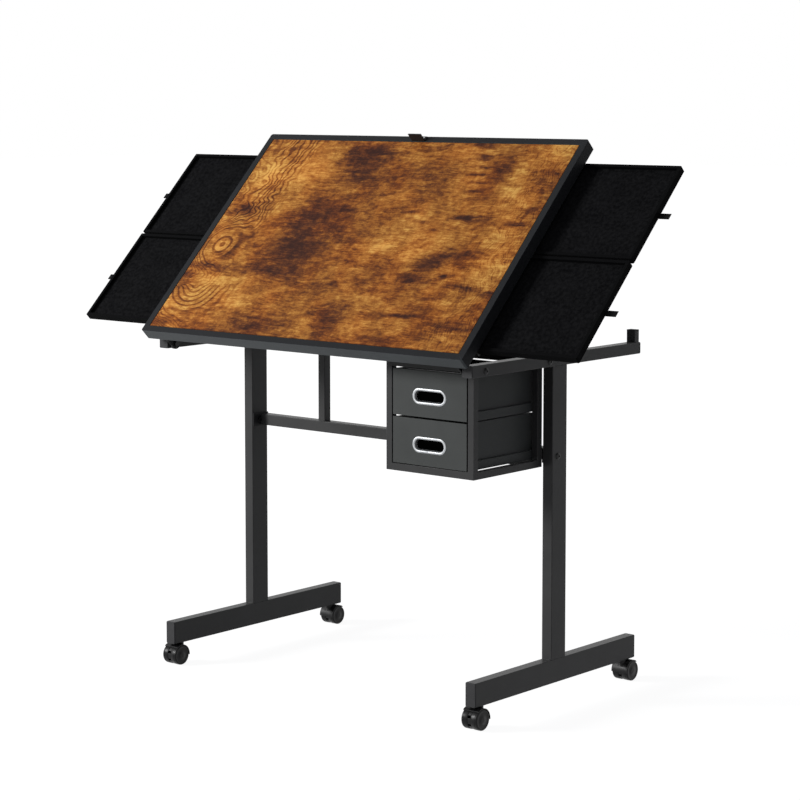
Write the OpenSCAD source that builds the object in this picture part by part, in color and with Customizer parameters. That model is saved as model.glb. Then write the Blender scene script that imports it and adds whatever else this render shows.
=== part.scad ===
// Jigsaw puzzle table with a tilting top, four side trays and two drawers on a rolling stand.
// Origin: on the floor, under the middle of the overall width and depth. +X right, +Y back, +Z up.
// The top is drawn in its tilted position with the trays pulled out.

/* [Table top] */
// Width of the top, left to right, mm
top_width = 900; // [860:10:960]
// Depth of the top, front to back, mm
top_depth = 600; // [580:5:640]
// Height of the working surface when the top lies flat, mm
table_height = 795; // [780:5:830]
// Thickness of the top's edge, mm
top_thickness = 27; // [25:1:30]
// Width of the rim round the board, mm
rim_width = 15; // [12:1:18]
// Radius of the rim's corners, mm
rim_corner = 5; // [3:1:8]
// Gap between rim and board, mm
board_gap = 0.8; // [0.4:0.2:1.2]
// Thickness of the printed board, mm
board_thickness = 12; // [9:1:15]
// Tilt of the top, degrees
tilt_angle = 45; // [20:5:50]

/* [Trays] */
// How far the trays are drawn out, mm
tray_reach = 237; // [0:1:240]
// Length of a tray along the slide, mm
tray_length = 290; // [280:5:300]
// Overall thickness of a tray, mm
tray_thickness = 14.6; // [12:0.2:16]
// Depth of the tray's hollow, mm
tray_pocket = 9; // [7:0.5:10]
// Width of the tray's raised border, mm
tray_border = 7; // [5:1:10]
// Distance of the front tray from the top's front edge, mm
tray_start = 50; // [48:1:52]
// Distance of the back tray's far edge from the top's front edge, mm
tray_end = 557; // [550:1:560]
// Gap between the front and back tray, mm
tray_split = 5; // [4.6:0.2:8]
// Thickness of the felt lining, mm
felt_thickness = 2; // [1:0.5:3]
// Length of the pull tab outside the tray, mm
tab_length = 27; // [20:1:35]
// Width of the pull tab, mm
tab_width = 14; // [10:1:20]

/* [Stand] */
// Side of the square rails and width of posts and feet, mm
frame_tube = 25; // [25:1:28]
// Depth of a post, mm
post_depth = 50; // [46:1:60]
// Height of a foot tube, mm
foot_height = 50; // [46:1:55]
// Length of a foot over its caps, mm
foot_length = 564; // [550:2:580]
// How much shorter a side rail is over its caps than the top is deep, mm
rail_short = 10; // [6:1:12]
// Wall of the big tubes, mm
tube_wall = 1.5; // [1.2:0.1:2]
// Height of the lower crossbar's underside above the floor, mm
crossbar_level = 514; // [500:1:530]
// Side of the strut, mm
strut_side = 20; // [16:1:22]
// Distance of the strut's axis to the left of the middle, mm
strut_offset = 224; // [180:1:240]
// Height of the stub rests above the rails, pads included, mm
stub_height = 27.6; // [27:0.1:27.8]

/* [Tilt hinge] */
// Distance of the pivot behind the top's front edge, mm
pivot_inset = 25; // [22:1:28]
// How far the pivot lies under the side rail's middle, mm
pivot_drop = 1.5; // [0:0.5:3]
// Radius of the hinge discs, mm
hinge_disc = 13; // [12:0.5:15]
// Diameter of the pivot bolt's shank, mm
pivot_bolt = 8; // [6:1:10]
// Running clearance round the pivot bolt, radial, mm
pivot_clearance = 0.06; // [0.04:0.01:0.09]

/* [Drawer cage] */
// Outer width of the cage, mm
cage_width = 229; // [220:1:240]
// Gap between the cage's back and the posts, mm
cage_post_gap = 3; // [2:1:10]
// Height of the cage's underside above the floor, mm
cage_level = 504; // [495:1:515]
// Distance of the cage's front behind the front end of the side rail, mm
cage_inset = 38; // [36:1:45]
// Side of the cage's thin tubes, mm
cage_tube = 15; // [14:1:16]
// Gap beside a drawer front, mm
drawer_side_gap = 3; // [2:0.5:4]
// Gap above and below a drawer front, mm
drawer_gap = 4; // [3:0.5:5]
// Thickness of a drawer front, mm
drawer_front_thickness = 10; // [9:1:12]
// Wall of the drawer box, mm
drawer_wall = 5; // [4:0.5:7]
// Height of a drawer slide channel, mm
channel_height = 18; // [16:1:20]
// Width of the chrome ring, mm
ring_width = 88; // [80:1:100]
// Height of the chrome ring, mm
ring_height = 34; // [30:1:40]

/* [Casters] */
// Overall height of a caster under the foot, mm
caster_height = 48; // [46:1:52]
// Diameter of the wheels, mm
wheel_diameter = 43.4; // [40:0.2:44]
// Overall width of the twin wheel, mm
wheel_width = 40; // [36:1:42]
// Distance of the wheel's axle from the stem's axis, mm
caster_trail = 13; // [10:0.5:16]
// Diameter of the stem, mm
stem_diameter = 10; // [8:0.5:11]
// Running clearance round the stem and the axle, radial, mm
stem_clearance = 0.06; // [0.04:0.01:0.09]
// Distance of a caster's stem from the end of its foot, mm
caster_inset = 30; // [26:1:37]

/* [Hidden] */
$fn = 64;
gap = 0.4;

frame_half = top_width / 2 - 10;
inner_half = frame_half - frame_tube;
tube_mid = frame_half - frame_tube / 2;
rail_top = table_height - top_thickness - 28;
rail_low = rail_top - frame_tube;
foot_low = caster_height;
foot_top = foot_low + foot_height;
cap_plate = 2;
cap_plug = 7;
rail_length = top_depth - rail_short;
caster_spread = foot_length / 2 - caster_inset;

pivot_y = -top_depth / 2 + pivot_inset;
pivot_z = rail_top - frame_tube / 2 - pivot_drop;
under_z = table_height - top_thickness;
tilted_front = pivot_y - pivot_inset * cos(tilt_angle) - (table_height - pivot_z) * sin(tilt_angle);
depth_shift = round(-(tilted_front + rail_length / 2) / 2);

crossbar_top = crossbar_level + frame_tube;
end_plate = 3;

cheek_plate = 3;
arm_plate = 4;
arm_gap = 0.4;
arm_x1 = inner_half - cheek_plate - arm_gap;
arm_x0 = arm_x1 - arm_plate;

cage_x1 = inner_half;
cage_x0 = cage_x1 - cage_width;
cage_y0 = -rail_length / 2 + cage_inset;
cage_y1 = -post_depth / 2 - cage_post_gap;
cage_top = rail_top - 5;
cage_wall = 1.2;
cage_in0 = cage_x0 + cage_tube;
cage_in1 = cage_x1 - cage_tube;
bay_low = cage_level + cage_tube;
bay_top = cage_top - cage_tube;
front_height = (bay_top - bay_low - drawer_gap * 2 - 2) / 2;
drawer_low = [bay_low + 2, bay_low + 2 + front_height + drawer_gap];
drawer_x0 = cage_in0 + drawer_side_gap;
drawer_x1 = cage_in1 - drawer_side_gap;
channel_depth = 6;
channel_y0 = cage_y0 + drawer_front_thickness + 0.5;
channel_y1 = cage_y1 - 1;
channel_wall = 1.4;
bar_gap = 0.5;
box_x0 = cage_in0 + channel_depth + 1;
box_x1 = cage_in1 - channel_depth - 1;
box_back = cage_y1 - 3;
box_front = cage_y0 + drawer_front_thickness;
ring_pocket = 7;

split_mid = (tray_start + tray_end) / 2;
tray_a = tray_start;
tray_b = split_mid - tray_split / 2;
tray_c = split_mid + tray_split / 2;
tray_d = tray_end;
tray_top = under_z - gap;
tray_low = tray_top - tray_thickness;
runner_lip = 12;
runner_plate = 2.5;
runner_half = top_width / 2 - 6;

wheel_r = wheel_diameter / 2;
axle_r = 3;
web_half = 3.6;
hood_r = wheel_r + 0.6;
hood_wall = 1.7;

screw_r = 3;
bolt_line = -6;
stub_x = 22;
stub_y = 16;
stub_back = rail_length / 2 - 4;
stub_pad = 2;
ring_wall = 5;
ring_proud = 1.6;
clip_width = 36;
clip_rise = 22;
clip_sheet = 2.4;
socket_top = 34;

function back_of(s) = s - top_depth / 2;

// Everything is drawn about the posts' middle and then moved to the middle of the overall depth.
module in_place() {
    translate([0, depth_shift, 0]) {
        children();
    }
}

module tilted() {
    translate([0, pivot_y, pivot_z]) {
        rotate([tilt_angle, 0, 0]) {
            translate([0, -pivot_y, -pivot_z]) {
                children();
            }
        }
    }
}

module block(x0, x1, y0, y1, z0, z1) {
    translate([x0, y0, z0]) {
        cube([x1 - x0, y1 - y0, z1 - z0]);
    }
}

module rod_x(x0, x1, y, z, r) {
    translate([x0, y, z]) {
        rotate([0, 90, 0]) {
            cylinder(h = x1 - x0, r = r);
        }
    }
}

// A plate with four rounded corners, drawn from x0, y0 to x1, y1.
module round_plate(x0, x1, y0, y1, z0, z1, r) {
    block(x0 + r, x1 - r, y0, y1, z0, z1);
    block(x0, x1, y0 + r, y1 - r, z0, z1);
    for (x = [x0 + r, x1 - r]) {
        for (y = [y0 + r, y1 - r]) {
            translate([x, y, z0]) {
                cylinder(h = z1 - z0, r = r);
            }
        }
    }
}

// Square tube along Y.
module tube_y(xc, w, y0, y1, z0, z1, wall) {
    difference() {
        block(xc - w / 2, xc + w / 2, y0, y1, z0, z1);
        block(xc - w / 2 + wall, xc + w / 2 - wall, y0 - 1, y1 + 1, z0 + wall, z1 - wall);
    }
}

module side_rail(side) {
    xc = side * tube_mid;
    half = rail_length / 2 - cap_plate;
    difference() {
        tube_y(xc, frame_tube, -half, half, rail_low, rail_top, tube_wall);
        rod_x(min(side * inner_half, side * tube_mid), max(side * inner_half, side * tube_mid),
            pivot_y, pivot_z, pivot_bolt / 2 + pivot_clearance);
        if (side > 0) {
            for (y = cage_bolt_y()) {
                rod_x(xc - frame_tube, xc + frame_tube, y, pivot_z, screw_r + gap / 2);
            }
        }
    }
}

function cage_bolt_y() = [cage_y0 + cage_tube / 2, cage_y1 - cage_tube / 2];

module rail_left() {
    color("#2b2b2c") in_place() {
        side_rail(-1);
    }
}

module rail_right() {
    color("#2b2b2c") in_place() {
        side_rail(1);
    }
}

module post(side) {
    xc = side * tube_mid;
    w = frame_tube / 2;
    d = post_depth / 2;
    difference() {
        block(xc - w, xc + w, -d, d, foot_top, rail_low);
        block(xc - w + tube_wall, xc + w - tube_wall, -d + tube_wall, d - tube_wall,
            foot_top - 1, rail_low + 1);
        rod_x(xc - 2 * w, xc + 2 * w, bolt_line, crossbar_level + frame_tube / 2,
            screw_r + gap / 2);
    }
}

module post_left() {
    color("#2b2b2c") in_place() {
        post(-1);
    }
}

module post_right() {
    color("#2b2b2c") in_place() {
        post(1);
    }
}

module foot(side) {
    xc = side * tube_mid;
    half = foot_length / 2 - cap_plate;
    difference() {
        tube_y(xc, frame_tube, -half, half, foot_low, foot_top, tube_wall);
        for (y = [-caster_spread, caster_spread]) {
            translate([xc, y, foot_low - 1]) {
                cylinder(h = tube_wall + 2, r = stem_diameter / 2 + 1.2);
            }
        }
    }
}

module foot_left() {
    color("#2b2b2c") in_place() {
        foot(-1);
    }
}

module foot_right() {
    color("#2b2b2c") in_place() {
        foot(1);
    }
}

module tube_cap(xc, y, dir, z0, z1) {
    w = frame_tube / 2;
    in = tube_wall + 0.1;
    ya = min(y, y - dir * cap_plate);
    yb = min(y - dir * cap_plate, y - dir * (cap_plate + cap_plug));
    block(xc - w, xc + w, ya, ya + cap_plate, z0, z1);
    block(xc - w + in, xc + w - in, yb, yb + cap_plug, z0 + in, z1 - in);
}

module end_caps() {
    color("#1c1c1d") in_place() {
        for (side = [-1, 1]) {
            for (dir = [-1, 1]) {
                tube_cap(side * tube_mid, dir * rail_length / 2, dir, rail_low, rail_top);
                tube_cap(side * tube_mid, dir * foot_length / 2, dir, foot_low, foot_top);
            }
        }
    }
}

module crossbar_lower() {
    half = inner_half - end_plate;
    y1 = post_depth / 2;
    y0 = y1 - frame_tube;
    color("#2b2b2c") in_place() {
        difference() {
            block(-half, half, y0, y1, crossbar_level, crossbar_top);
            block(-half - 1, half + 1, y0 + tube_wall, y1 - tube_wall,
                crossbar_level + tube_wall, crossbar_top - tube_wall);
        }
    }
}

module crossbar_plates() {
    d = post_depth / 2;
    color("#151516") in_place() {
        for (side = [-1, 1]) {
            x0 = side > 0 ? inner_half - end_plate : -inner_half;
            difference() {
                block(x0, x0 + end_plate, -d + 1, d, crossbar_level - 2, crossbar_top + 3);
                rod_x(x0 - 1, x0 + end_plate + 1, bolt_line, crossbar_level + frame_tube / 2,
                    screw_r + gap / 2);
            }
        }
    }
}

module crossbar_upper() {
    y1 = post_depth / 2;
    y0 = y1 - frame_tube;
    color("#2b2b2c") in_place() {
        difference() {
            block(-inner_half, inner_half, y0, y1, rail_low, rail_top);
            block(-inner_half - 1, inner_half + 1, y0 + tube_wall, y1 - tube_wall,
                rail_low + tube_wall, rail_top - tube_wall);
        }
    }
}

module strut() {
    y0 = post_depth / 2 - frame_tube;
    wall = 1.2;
    color("#2b2b2c") in_place() {
        difference() {
            block(-strut_offset - strut_side / 2, -strut_offset + strut_side / 2,
                y0, y0 + strut_side, crossbar_top, rail_low);
            block(-strut_offset - strut_side / 2 + wall, -strut_offset + strut_side / 2 - wall,
                y0 + wall, y0 + strut_side - wall, crossbar_top - 1, rail_low + 1);
        }
    }
}

module stubs() {
    color("#2b2b2c") in_place() {
        for (side = [-1, 1]) {
            translate([side * tube_mid, stub_back - stub_y / 2, rail_top]) {
                difference() {
                    block(-stub_x / 2, stub_x / 2, -stub_y / 2, stub_y / 2,
                        0, stub_height - stub_pad);
                    block(-stub_x / 2 + 1.2, stub_x / 2 - 1.2, -stub_y / 2 + 1.2,
                        stub_y / 2 - 1.2, -1, stub_height);
                }
            }
        }
    }
}

module stub_pads() {
    color("#101011") in_place() {
        for (side = [-1, 1]) {
            translate([side * tube_mid, stub_back - stub_y / 2, rail_top + stub_height]) {
                block(-stub_x / 2, stub_x / 2, -stub_y / 2, stub_y / 2, -stub_pad, 0);
                block(-stub_x / 2 + 1.4, stub_x / 2 - 1.4, -stub_y / 2 + 1.4,
                    stub_y / 2 - 1.4, -stub_pad - 6, -stub_pad);
            }
        }
    }
}

// Fixed half of each tilt hinge: a disc round the pivot with a tongue along the rail.
module hinge_cheeks() {
    color("#3a3a3c") in_place() {
        for (side = [-1, 1]) {
            x0 = side > 0 ? inner_half - cheek_plate : -inner_half;
            difference() {
                union() {
                    rod_x(x0, x0 + cheek_plate, pivot_y, pivot_z, hinge_disc);
                    block(x0, x0 + cheek_plate, pivot_y, pivot_y + tongue_end(),
                        pivot_z - 9, pivot_z + 9);
                }
                rod_x(x0 - 1, x0 + cheek_plate + 1, pivot_y, pivot_z,
                    pivot_bolt / 2 + pivot_clearance);
            }
        }
    }
}

function tongue_end() = cage_y0 - pivot_y - 0.5;

// Moving half of each tilt hinge: a toothed sector disc, a neck and a flange under the panel.
module hinge_arms() {
    neck = hinge_disc * 2 - 4;
    flange = 30;
    flange_depth = tray_start - 10;
    color("#3a3a3c") in_place() {
        tilted() {
            for (side = [-1, 1]) {
                x0 = side > 0 ? arm_x0 : -arm_x1;
                f0 = side > 0 ? arm_x1 - flange : -arm_x1;
                y0 = -top_depth / 2 + 4;
                difference() {
                    union() {
                        rod_x(x0, x0 + arm_plate, pivot_y, pivot_z, hinge_disc);
                        block(x0, x0 + arm_plate, pivot_y - neck / 2 - 2, pivot_y + neck / 2,
                            pivot_z, under_z);
                        block(f0, f0 + flange, y0, y0 + flange_depth, under_z - arm_plate, under_z);
                    }
                    rod_x(x0 - 1, x0 + arm_plate + 1, pivot_y, pivot_z,
                        pivot_bolt / 2 + pivot_clearance);
                }
            }
        }
    }
}

module pivot_bolts() {
    head = pivot_bolt * 0.85;
    nut = pivot_bolt * 0.8;
    x1 = inner_half + tube_wall;
    color("#8d8f92") in_place() {
        for (side = [-1, 1]) {
            scale([side, 1, 1]) {
                rod_x(arm_x0 - 0.3, x1 + 6, pivot_y, pivot_z, pivot_bolt / 2);
                rod_x(arm_x0 - 4.8, arm_x0 - 0.3, pivot_y, pivot_z, head);
                rod_x(x1, x1 + 5, pivot_y, pivot_z, nut);
            }
        }
    }
}

module stand_bolts() {
    head = 6.8;
    dome = 4;
    color("#1a1a1b") in_place() {
        for (side = [-1, 1]) {
            scale([side, 1, 1]) {
                z = crossbar_level + frame_tube / 2;
                rod_x(inner_half - end_plate - 4.2, frame_half + 1, bolt_line, z, screw_r);
                rod_x(frame_half, frame_half + dome, bolt_line, z, head);
                rod_x(inner_half - end_plate - 4, inner_half - end_plate, bolt_line, z, 5);
            }
        }
        for (y = cage_bolt_y()) {
            rod_x(cage_x1 - cage_tube + 2, frame_half + 1, y, pivot_z, screw_r);
            rod_x(cage_x1 - cage_wall - 5, cage_x1 - cage_wall, y, pivot_z, 4.6);
            rod_x(frame_half, frame_half + dome, y, pivot_z, head);
        }
    }
}

// Welded cage of thin tube, open on every face.
module cage_frame() {
    t = cage_tube;
    w = cage_wall;
    color("#2b2b2c") in_place() {
        difference() {
            union() {
                for (x = [cage_x0, cage_x1 - t]) {
                    for (y = [cage_y0, cage_y1 - t]) {
                        block(x, x + t, y, y + t, cage_level, cage_top);
                    }
                }
                for (z = [cage_level, cage_top - t]) {
                    for (y = [cage_y0, cage_y1 - t]) {
                        block(cage_x0, cage_x1, y, y + t, z, z + t);
                    }
                    for (x = [cage_x0, cage_x1 - t]) {
                        block(x, x + t, cage_y0, cage_y1, z, z + t);
                    }
                }
            }
            for (x = [cage_x0, cage_x1 - t]) {
                for (y = [cage_y0, cage_y1 - t]) {
                    block(x + w, x + t - w, y + w, y + t - w, cage_level - 1, cage_top - w);
                }
            }
            for (z = [cage_level + w, cage_top - t + w]) {
                for (y = [cage_y0 + w, cage_y1 - t + w]) {
                    block(cage_x0 + w, cage_x1 - w, y, y + t - 2 * w, z, z + t - 2 * w);
                }
                for (x = [cage_x0 + w, cage_x1 - t + w]) {
                    block(x, x + t - 2 * w, cage_y0 + w, cage_y1 - w, z, z + t - 2 * w);
                }
            }
            for (y = cage_bolt_y()) {
                rod_x(cage_x1 - t / 2, cage_x1 + 1, y, pivot_z, screw_r + gap / 2);
            }
        }
    }
}

// Fixed halves of the drawer slides: channels that span from the front post to the back one.
module channel(side, z0) {
    x0 = side > 0 ? cage_in1 - channel_depth : cage_in0;
    x1 = x0 + channel_depth;
    w = channel_wall;
    mouth0 = side > 0 ? x0 - 1 : x0 + w;
    mouth1 = side > 0 ? x1 - w : x1 + 1;
    lip = 3.4;
    lip0 = side > 0 ? x0 : x1 - w;
    difference() {
        block(x0, x1, channel_y0, channel_y1, z0, z0 + channel_height);
        block(mouth0, mouth1, cage_y0 - 1, cage_y1 + 1, z0 + w, z0 + channel_height - w);
    }
    for (z = [z0 + w - 0.2, z0 + channel_height - w - lip + 0.2]) {
        block(lip0, lip0 + w, channel_y0, channel_y1, z, z + lip);
    }
}

function slide_low(n) = drawer_low[n] - 0.5;

module drawer_channels() {
    color("#6b6d70") in_place() {
        for (n = [0, 1]) {
            for (side = [-1, 1]) {
                channel(side, slide_low(n));
            }
        }
    }
}

// Moving halves of the drawer slides: a bar with a head that runs inside the channel.
module drawer_bars(n) {
    z0 = slide_low(n);
    w = channel_wall;
    neck = 3.4 + w + bar_gap;
    color("#8a8c90") in_place() {
        for (side = [-1, 1]) {
            scale_x = side > 0 ? 1 : -1;
            mid = (cage_in0 + cage_in1) / 2;
            translate([mid, 0, 0]) {
                scale([scale_x, 1, 1]) {
                    in = (cage_in1 - cage_in0) / 2;
                    box = (box_x1 - box_x0) / 2;
                    block(box, in - channel_depth + w + bar_gap, box_front, box_back - 2,
                        z0 + neck, z0 + channel_height - neck);
                    block(in - channel_depth + w + bar_gap, in - w - bar_gap,
                        box_front, box_back - 2, z0 + w + bar_gap,
                        z0 + channel_height - w - bar_gap);
                }
            }
        }
    }
}

module drawer_bars_low() {
    drawer_bars(0);
}

module drawer_bars_up() {
    drawer_bars(1);
}

module drawer_box(n) {
    z0 = drawer_low[n] + 1;
    z1 = drawer_low[n] + front_height;
    w = drawer_wall;
    color("#3c3e3d") in_place() {
        difference() {
            block(box_x0, box_x1, box_front, box_back, z0, z1);
            block(box_x0 + w, box_x1 - w, box_front + w, box_back - w, z0 + w, z1 + 1);
        }
    }
}

module drawer_box_low() {
    drawer_box(0);
}

module drawer_box_up() {
    drawer_box(1);
}

// A stadium along X with its thickness along Y.
module stadium(w, h, y0, y1, z) {
    xc = (drawer_x0 + drawer_x1) / 2;
    r = h / 2;
    block(xc - w / 2 + r, xc + w / 2 - r, y0, y1, z - r, z + r);
    for (x = [xc - w / 2 + r, xc + w / 2 - r]) {
        translate([x, y1, z]) {
            rotate([90, 0, 0]) {
                cylinder(h = y1 - y0, r = r);
            }
        }
    }
}

function ring_z(n) = drawer_low[n] + 0.446 * front_height;

module drawer_front(n) {
    color("#3c3e3d") in_place() {
        difference() {
            block(drawer_x0, drawer_x1, cage_y0, box_front, drawer_low[n],
                drawer_low[n] + front_height);
            stadium(ring_width - 2 * ring_wall, ring_height - 2 * ring_wall,
                cage_y0 - 1, cage_y0 + ring_pocket, ring_z(n));
            stadium(ring_width - 3, ring_height - 3, cage_y0 - 1, cage_y0 + 1, ring_z(n));
        }
    }
}

module drawer_front_low() {
    drawer_front(0);
}

module drawer_front_up() {
    drawer_front(1);
}

module drawer_ring(n) {
    iw = ring_width - 2 * ring_wall;
    ih = ring_height - 2 * ring_wall;
    color("#d9dadb") in_place() {
        difference() {
            union() {
                stadium(ring_width, ring_height, cage_y0 - ring_proud, cage_y0, ring_z(n));
                stadium(ring_width - 3.2, ring_height - 3.2, cage_y0, cage_y0 + 1,
                    ring_z(n));
            }
            stadium(iw, ih, cage_y0 - 4, cage_y0 + 4, ring_z(n));
        }
    }
}

module drawer_ring_low() {
    drawer_ring(0);
}

module drawer_ring_up() {
    drawer_ring(1);
}

module rim_ring() {
    a = top_width / 2;
    b = top_depth / 2;
    difference() {
        round_plate(-a, a, -b, b, under_z, table_height, rim_corner);
        block(-a + rim_width, a - rim_width, -b + rim_width, b - rim_width,
            under_z - 1, table_height + 1);
    }
}

// One quarter of the rim between its two mitres.
module rim_member(turn) {
    a = top_width / 2;
    b = top_depth / 2;
    k = b - rim_width - 40;
    long = turn == 0 || turn == 2;
    pts = long ? [[-a - 1, -b - 1], [a + 1, -b - 1], [a - k, -b + k], [-a + k, -b + k]]
        : [[-a - 1, -b - 1], [-a - 1, b + 1], [-a + k, b - k], [-a + k, -b + k]];
    flip = turn == 0 || turn == 1 ? 0 : 180;
    tilted() {
        intersection() {
            rim_ring();
            rotate([0, 0, flip]) {
                translate([0, 0, under_z - 1]) {
                    linear_extrude(height = top_thickness + 2) {
                        polygon(pts);
                    }
                }
            }
        }
    }
}

module rim_front() {
    color("#3b3e42") in_place() {
        rim_member(0);
    }
}

module rim_left() {
    color("#3b3e42") in_place() {
        rim_member(1);
    }
}

module rim_back() {
    color("#3b3e42") in_place() {
        rim_member(2);
    }
}

module rim_right() {
    color("#3b3e42") in_place() {
        rim_member(3);
    }
}

module board() {
    a = top_width / 2 - rim_width - board_gap;
    b = top_depth / 2 - rim_width - board_gap;
    color("#8a6f58") in_place() {
        tilted() {
            block(-a, a, -b, b, table_height - board_thickness, table_height - 0.3);
        }
    }
}

module under_panel() {
    a = top_width / 2 - rim_width;
    b = top_depth / 2 - rim_width;
    color("#4d4238") in_place() {
        tilted() {
            block(-a, a, -b, b, under_z, table_height - board_thickness);
        }
    }
}

// Runner with one lip: an L under the trays' outer side.
module runner_l(s_web, dir) {
    web = 4;
    y = back_of(s_web);
    y0 = dir > 0 ? y - web : y;
    l0 = dir > 0 ? y - web : y - runner_lip;
    block(-runner_half, runner_half, y0, y0 + web, tray_low - gap - runner_plate, under_z);
    block(-runner_half, runner_half, l0, l0 + web + runner_lip,
        tray_low - gap - runner_plate, tray_low - gap);
}

module runner_front() {
    color("#3a3a3c") in_place() {
        tilted() {
            runner_l(tray_a - gap, 1);
        }
    }
}

module runner_back() {
    color("#3a3a3c") in_place() {
        tilted() {
            runner_l(tray_d + gap, -1);
        }
    }
}

module runner_mid() {
    web = tray_split - 2 * gap;
    y = back_of(split_mid);
    z0 = tray_low - gap - runner_plate;
    color("#3a3a3c") in_place() {
        tilted() {
            block(-runner_half, runner_half, y - web / 2, y + web / 2, z0, under_z);
            block(-runner_half, runner_half, y - web / 2 - runner_lip, y + web / 2 + runner_lip,
                z0, z0 + runner_plate);
        }
    }
}

// Small upright stop at the middle of the back rim.
module clip() {
    y0 = top_depth / 2 - rim_width;
    color("#2f3133") in_place() {
        tilted() {
            difference() {
                union() {
                    block(-clip_width / 2, clip_width / 2, y0, y0 + clip_sheet,
                        table_height, table_height + clip_rise);
                    block(-clip_width / 2, clip_width / 2, y0, y0 + rim_width - 1.5,
                        table_height, table_height + clip_sheet);
                }
                for (x = [-11, 11]) {
                    translate([x, y0 + 8.6, table_height - 1]) {
                        cylinder(h = 6, r = 1.7);
                    }
                }
            }
        }
    }
}

// Heads of the screws that hold the clip and the hinge flanges.
module top_screws() {
    y0 = top_depth / 2 - rim_width;
    color("#8d8f92") in_place() {
        tilted() {
            for (x = [-11, 11]) {
                translate([x, y0 + 8.6, table_height]) {
                    cylinder(h = clip_sheet, r = 1.6);
                    translate([0, 0, clip_sheet]) {
                        cylinder(h = 1.2, r = 3.2);
                    }
                }
            }
            for (side = [-1, 1]) {
                for (s = [13, 37]) {
                    translate([side * (arm_x0 - 13), back_of(s), under_z - arm_plate - 2]) {
                        cylinder(h = 2, r = 4);
                    }
                }
            }
        }
    }
}

module tray_shape(s0, s1) {
    x1 = top_width / 2 + tray_reach;
    x0 = x1 - tray_length;
    y0 = back_of(s0);
    y1 = back_of(s1);
    r = 2.5;
    b = tray_border;
    difference() {
        round_plate(x0, x1, y0, y1, tray_low, tray_top, r);
        round_plate(x0 + b, x1 - b, y0 + b, y1 - b, tray_top - tray_pocket, tray_top + 1, r - 1);
    }
}

module tray(side, s0, s1) {
    color("#161617") in_place() {
        tilted() {
            scale([side, 1, 1]) {
                tray_shape(s0, s1);
            }
        }
    }
}

module felt(side, s0, s1) {
    x1 = top_width / 2 + tray_reach - tray_border;
    x0 = x1 - tray_length + 2 * tray_border;
    z0 = tray_top - tray_pocket;
    color("#1d1d1e") in_place() {
        tilted() {
            scale([side, 1, 1]) {
                round_plate(x0, x1, back_of(s0) + tray_border, back_of(s1) - tray_border,
                    z0, z0 + felt_thickness, 3);
            }
        }
    }
}

// A stitched loop of webbing under the middle of the tray's outer edge.
module tab(side, s0, s1) {
    x1 = top_width / 2 + tray_reach;
    y = back_of((s0 + s1) / 2);
    z = tray_low + 1.4;
    color("#121213") in_place() {
        tilted() {
            scale([side, 1, 1]) {
                block(x1, x1 + tab_length, y - tab_width / 2, y + tab_width / 2, z - 1.2, z + 1.2);
            }
        }
    }
}

module tray_lf() {
    tray(-1, tray_a, tray_b);
}

module tray_lb() {
    tray(-1, tray_c, tray_d);
}

module tray_rf() {
    tray(1, tray_a, tray_b);
}

module tray_rb() {
    tray(1, tray_c, tray_d);
}

module felt_lf() {
    felt(-1, tray_a, tray_b);
}

module felt_lb() {
    felt(-1, tray_c, tray_d);
}

module felt_rf() {
    felt(1, tray_a, tray_b);
}

module felt_rb() {
    felt(1, tray_c, tray_d);
}

module tab_lf() {
    tab(-1, tray_a, tray_b);
}

module tab_lb() {
    tab(-1, tray_c, tray_d);
}

module tab_rf() {
    tab(1, tray_a, tray_b);
}

module tab_rb() {
    tab(1, tray_c, tray_d);
}

module caster_sockets() {
    w = frame_tube / 2 - tube_wall - 0.1;
    color("#1a1a1b") in_place() {
        for (side = [-1, 1]) {
            for (y = [-caster_spread, caster_spread]) {
                translate([side * tube_mid, y, foot_low + tube_wall]) {
                    difference() {
                        block(-w, w, -w, w, 0, socket_top);
                        translate([0, 0, -1]) {
                            cylinder(h = socket_top - 3, r = stem_diameter / 2 + stem_clearance);
                        }
                    }
                }
            }
        }
    }
}

// Stem, boss, web and curved hood, with the stem on the Z axis and the wheel toward +Y.
module fork_shape() {
    zc = wheel_r;
    half = wheel_width / 2;
    translate([0, 0, zc + 8]) {
        cylinder(h = foot_low + tube_wall + 26 - zc - 8, r = stem_diameter / 2);
    }
    translate([0, 0, zc + 10]) {
        cylinder(h = foot_low - 0.3 - zc - 10, r = 8.5);
    }
    difference() {
        rod_x(-half, half, caster_trail, zc, hood_r + hood_wall);
        rod_x(-half - 1, half + 1, caster_trail, zc, hood_r);
        block(-half - 1, half + 1, caster_trail + 14, 60, -10, 80);
        block(-half - 1, half + 1, -60, 60, -10, zc - 2);
    }
    intersection() {
        rod_x(-web_half, web_half, caster_trail, zc, hood_r + 0.5);
        union() {
            rod_x(-web_half, web_half, caster_trail, zc, 9);
            block(-web_half, web_half, -9, caster_trail + 9, zc, 80);
        }
    }
}

module caster_fork(side, dir) {
    zc = wheel_r;
    half = wheel_width / 2;
    color("#141415") in_place() {
        translate([side * tube_mid, dir * caster_spread, 0]) {
            rotate([0, 0, dir > 0 ? 0 : 180]) {
                difference() {
                    fork_shape();
                    rod_x(-web_half - 1, web_half + 1, caster_trail, zc, axle_r + stem_clearance);
                    rod_x(web_half, half + 1, caster_trail, zc, hood_r);
                    rod_x(-half - 1, -web_half, caster_trail, zc, hood_r);
                }
            }
        }
    }
}

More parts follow.
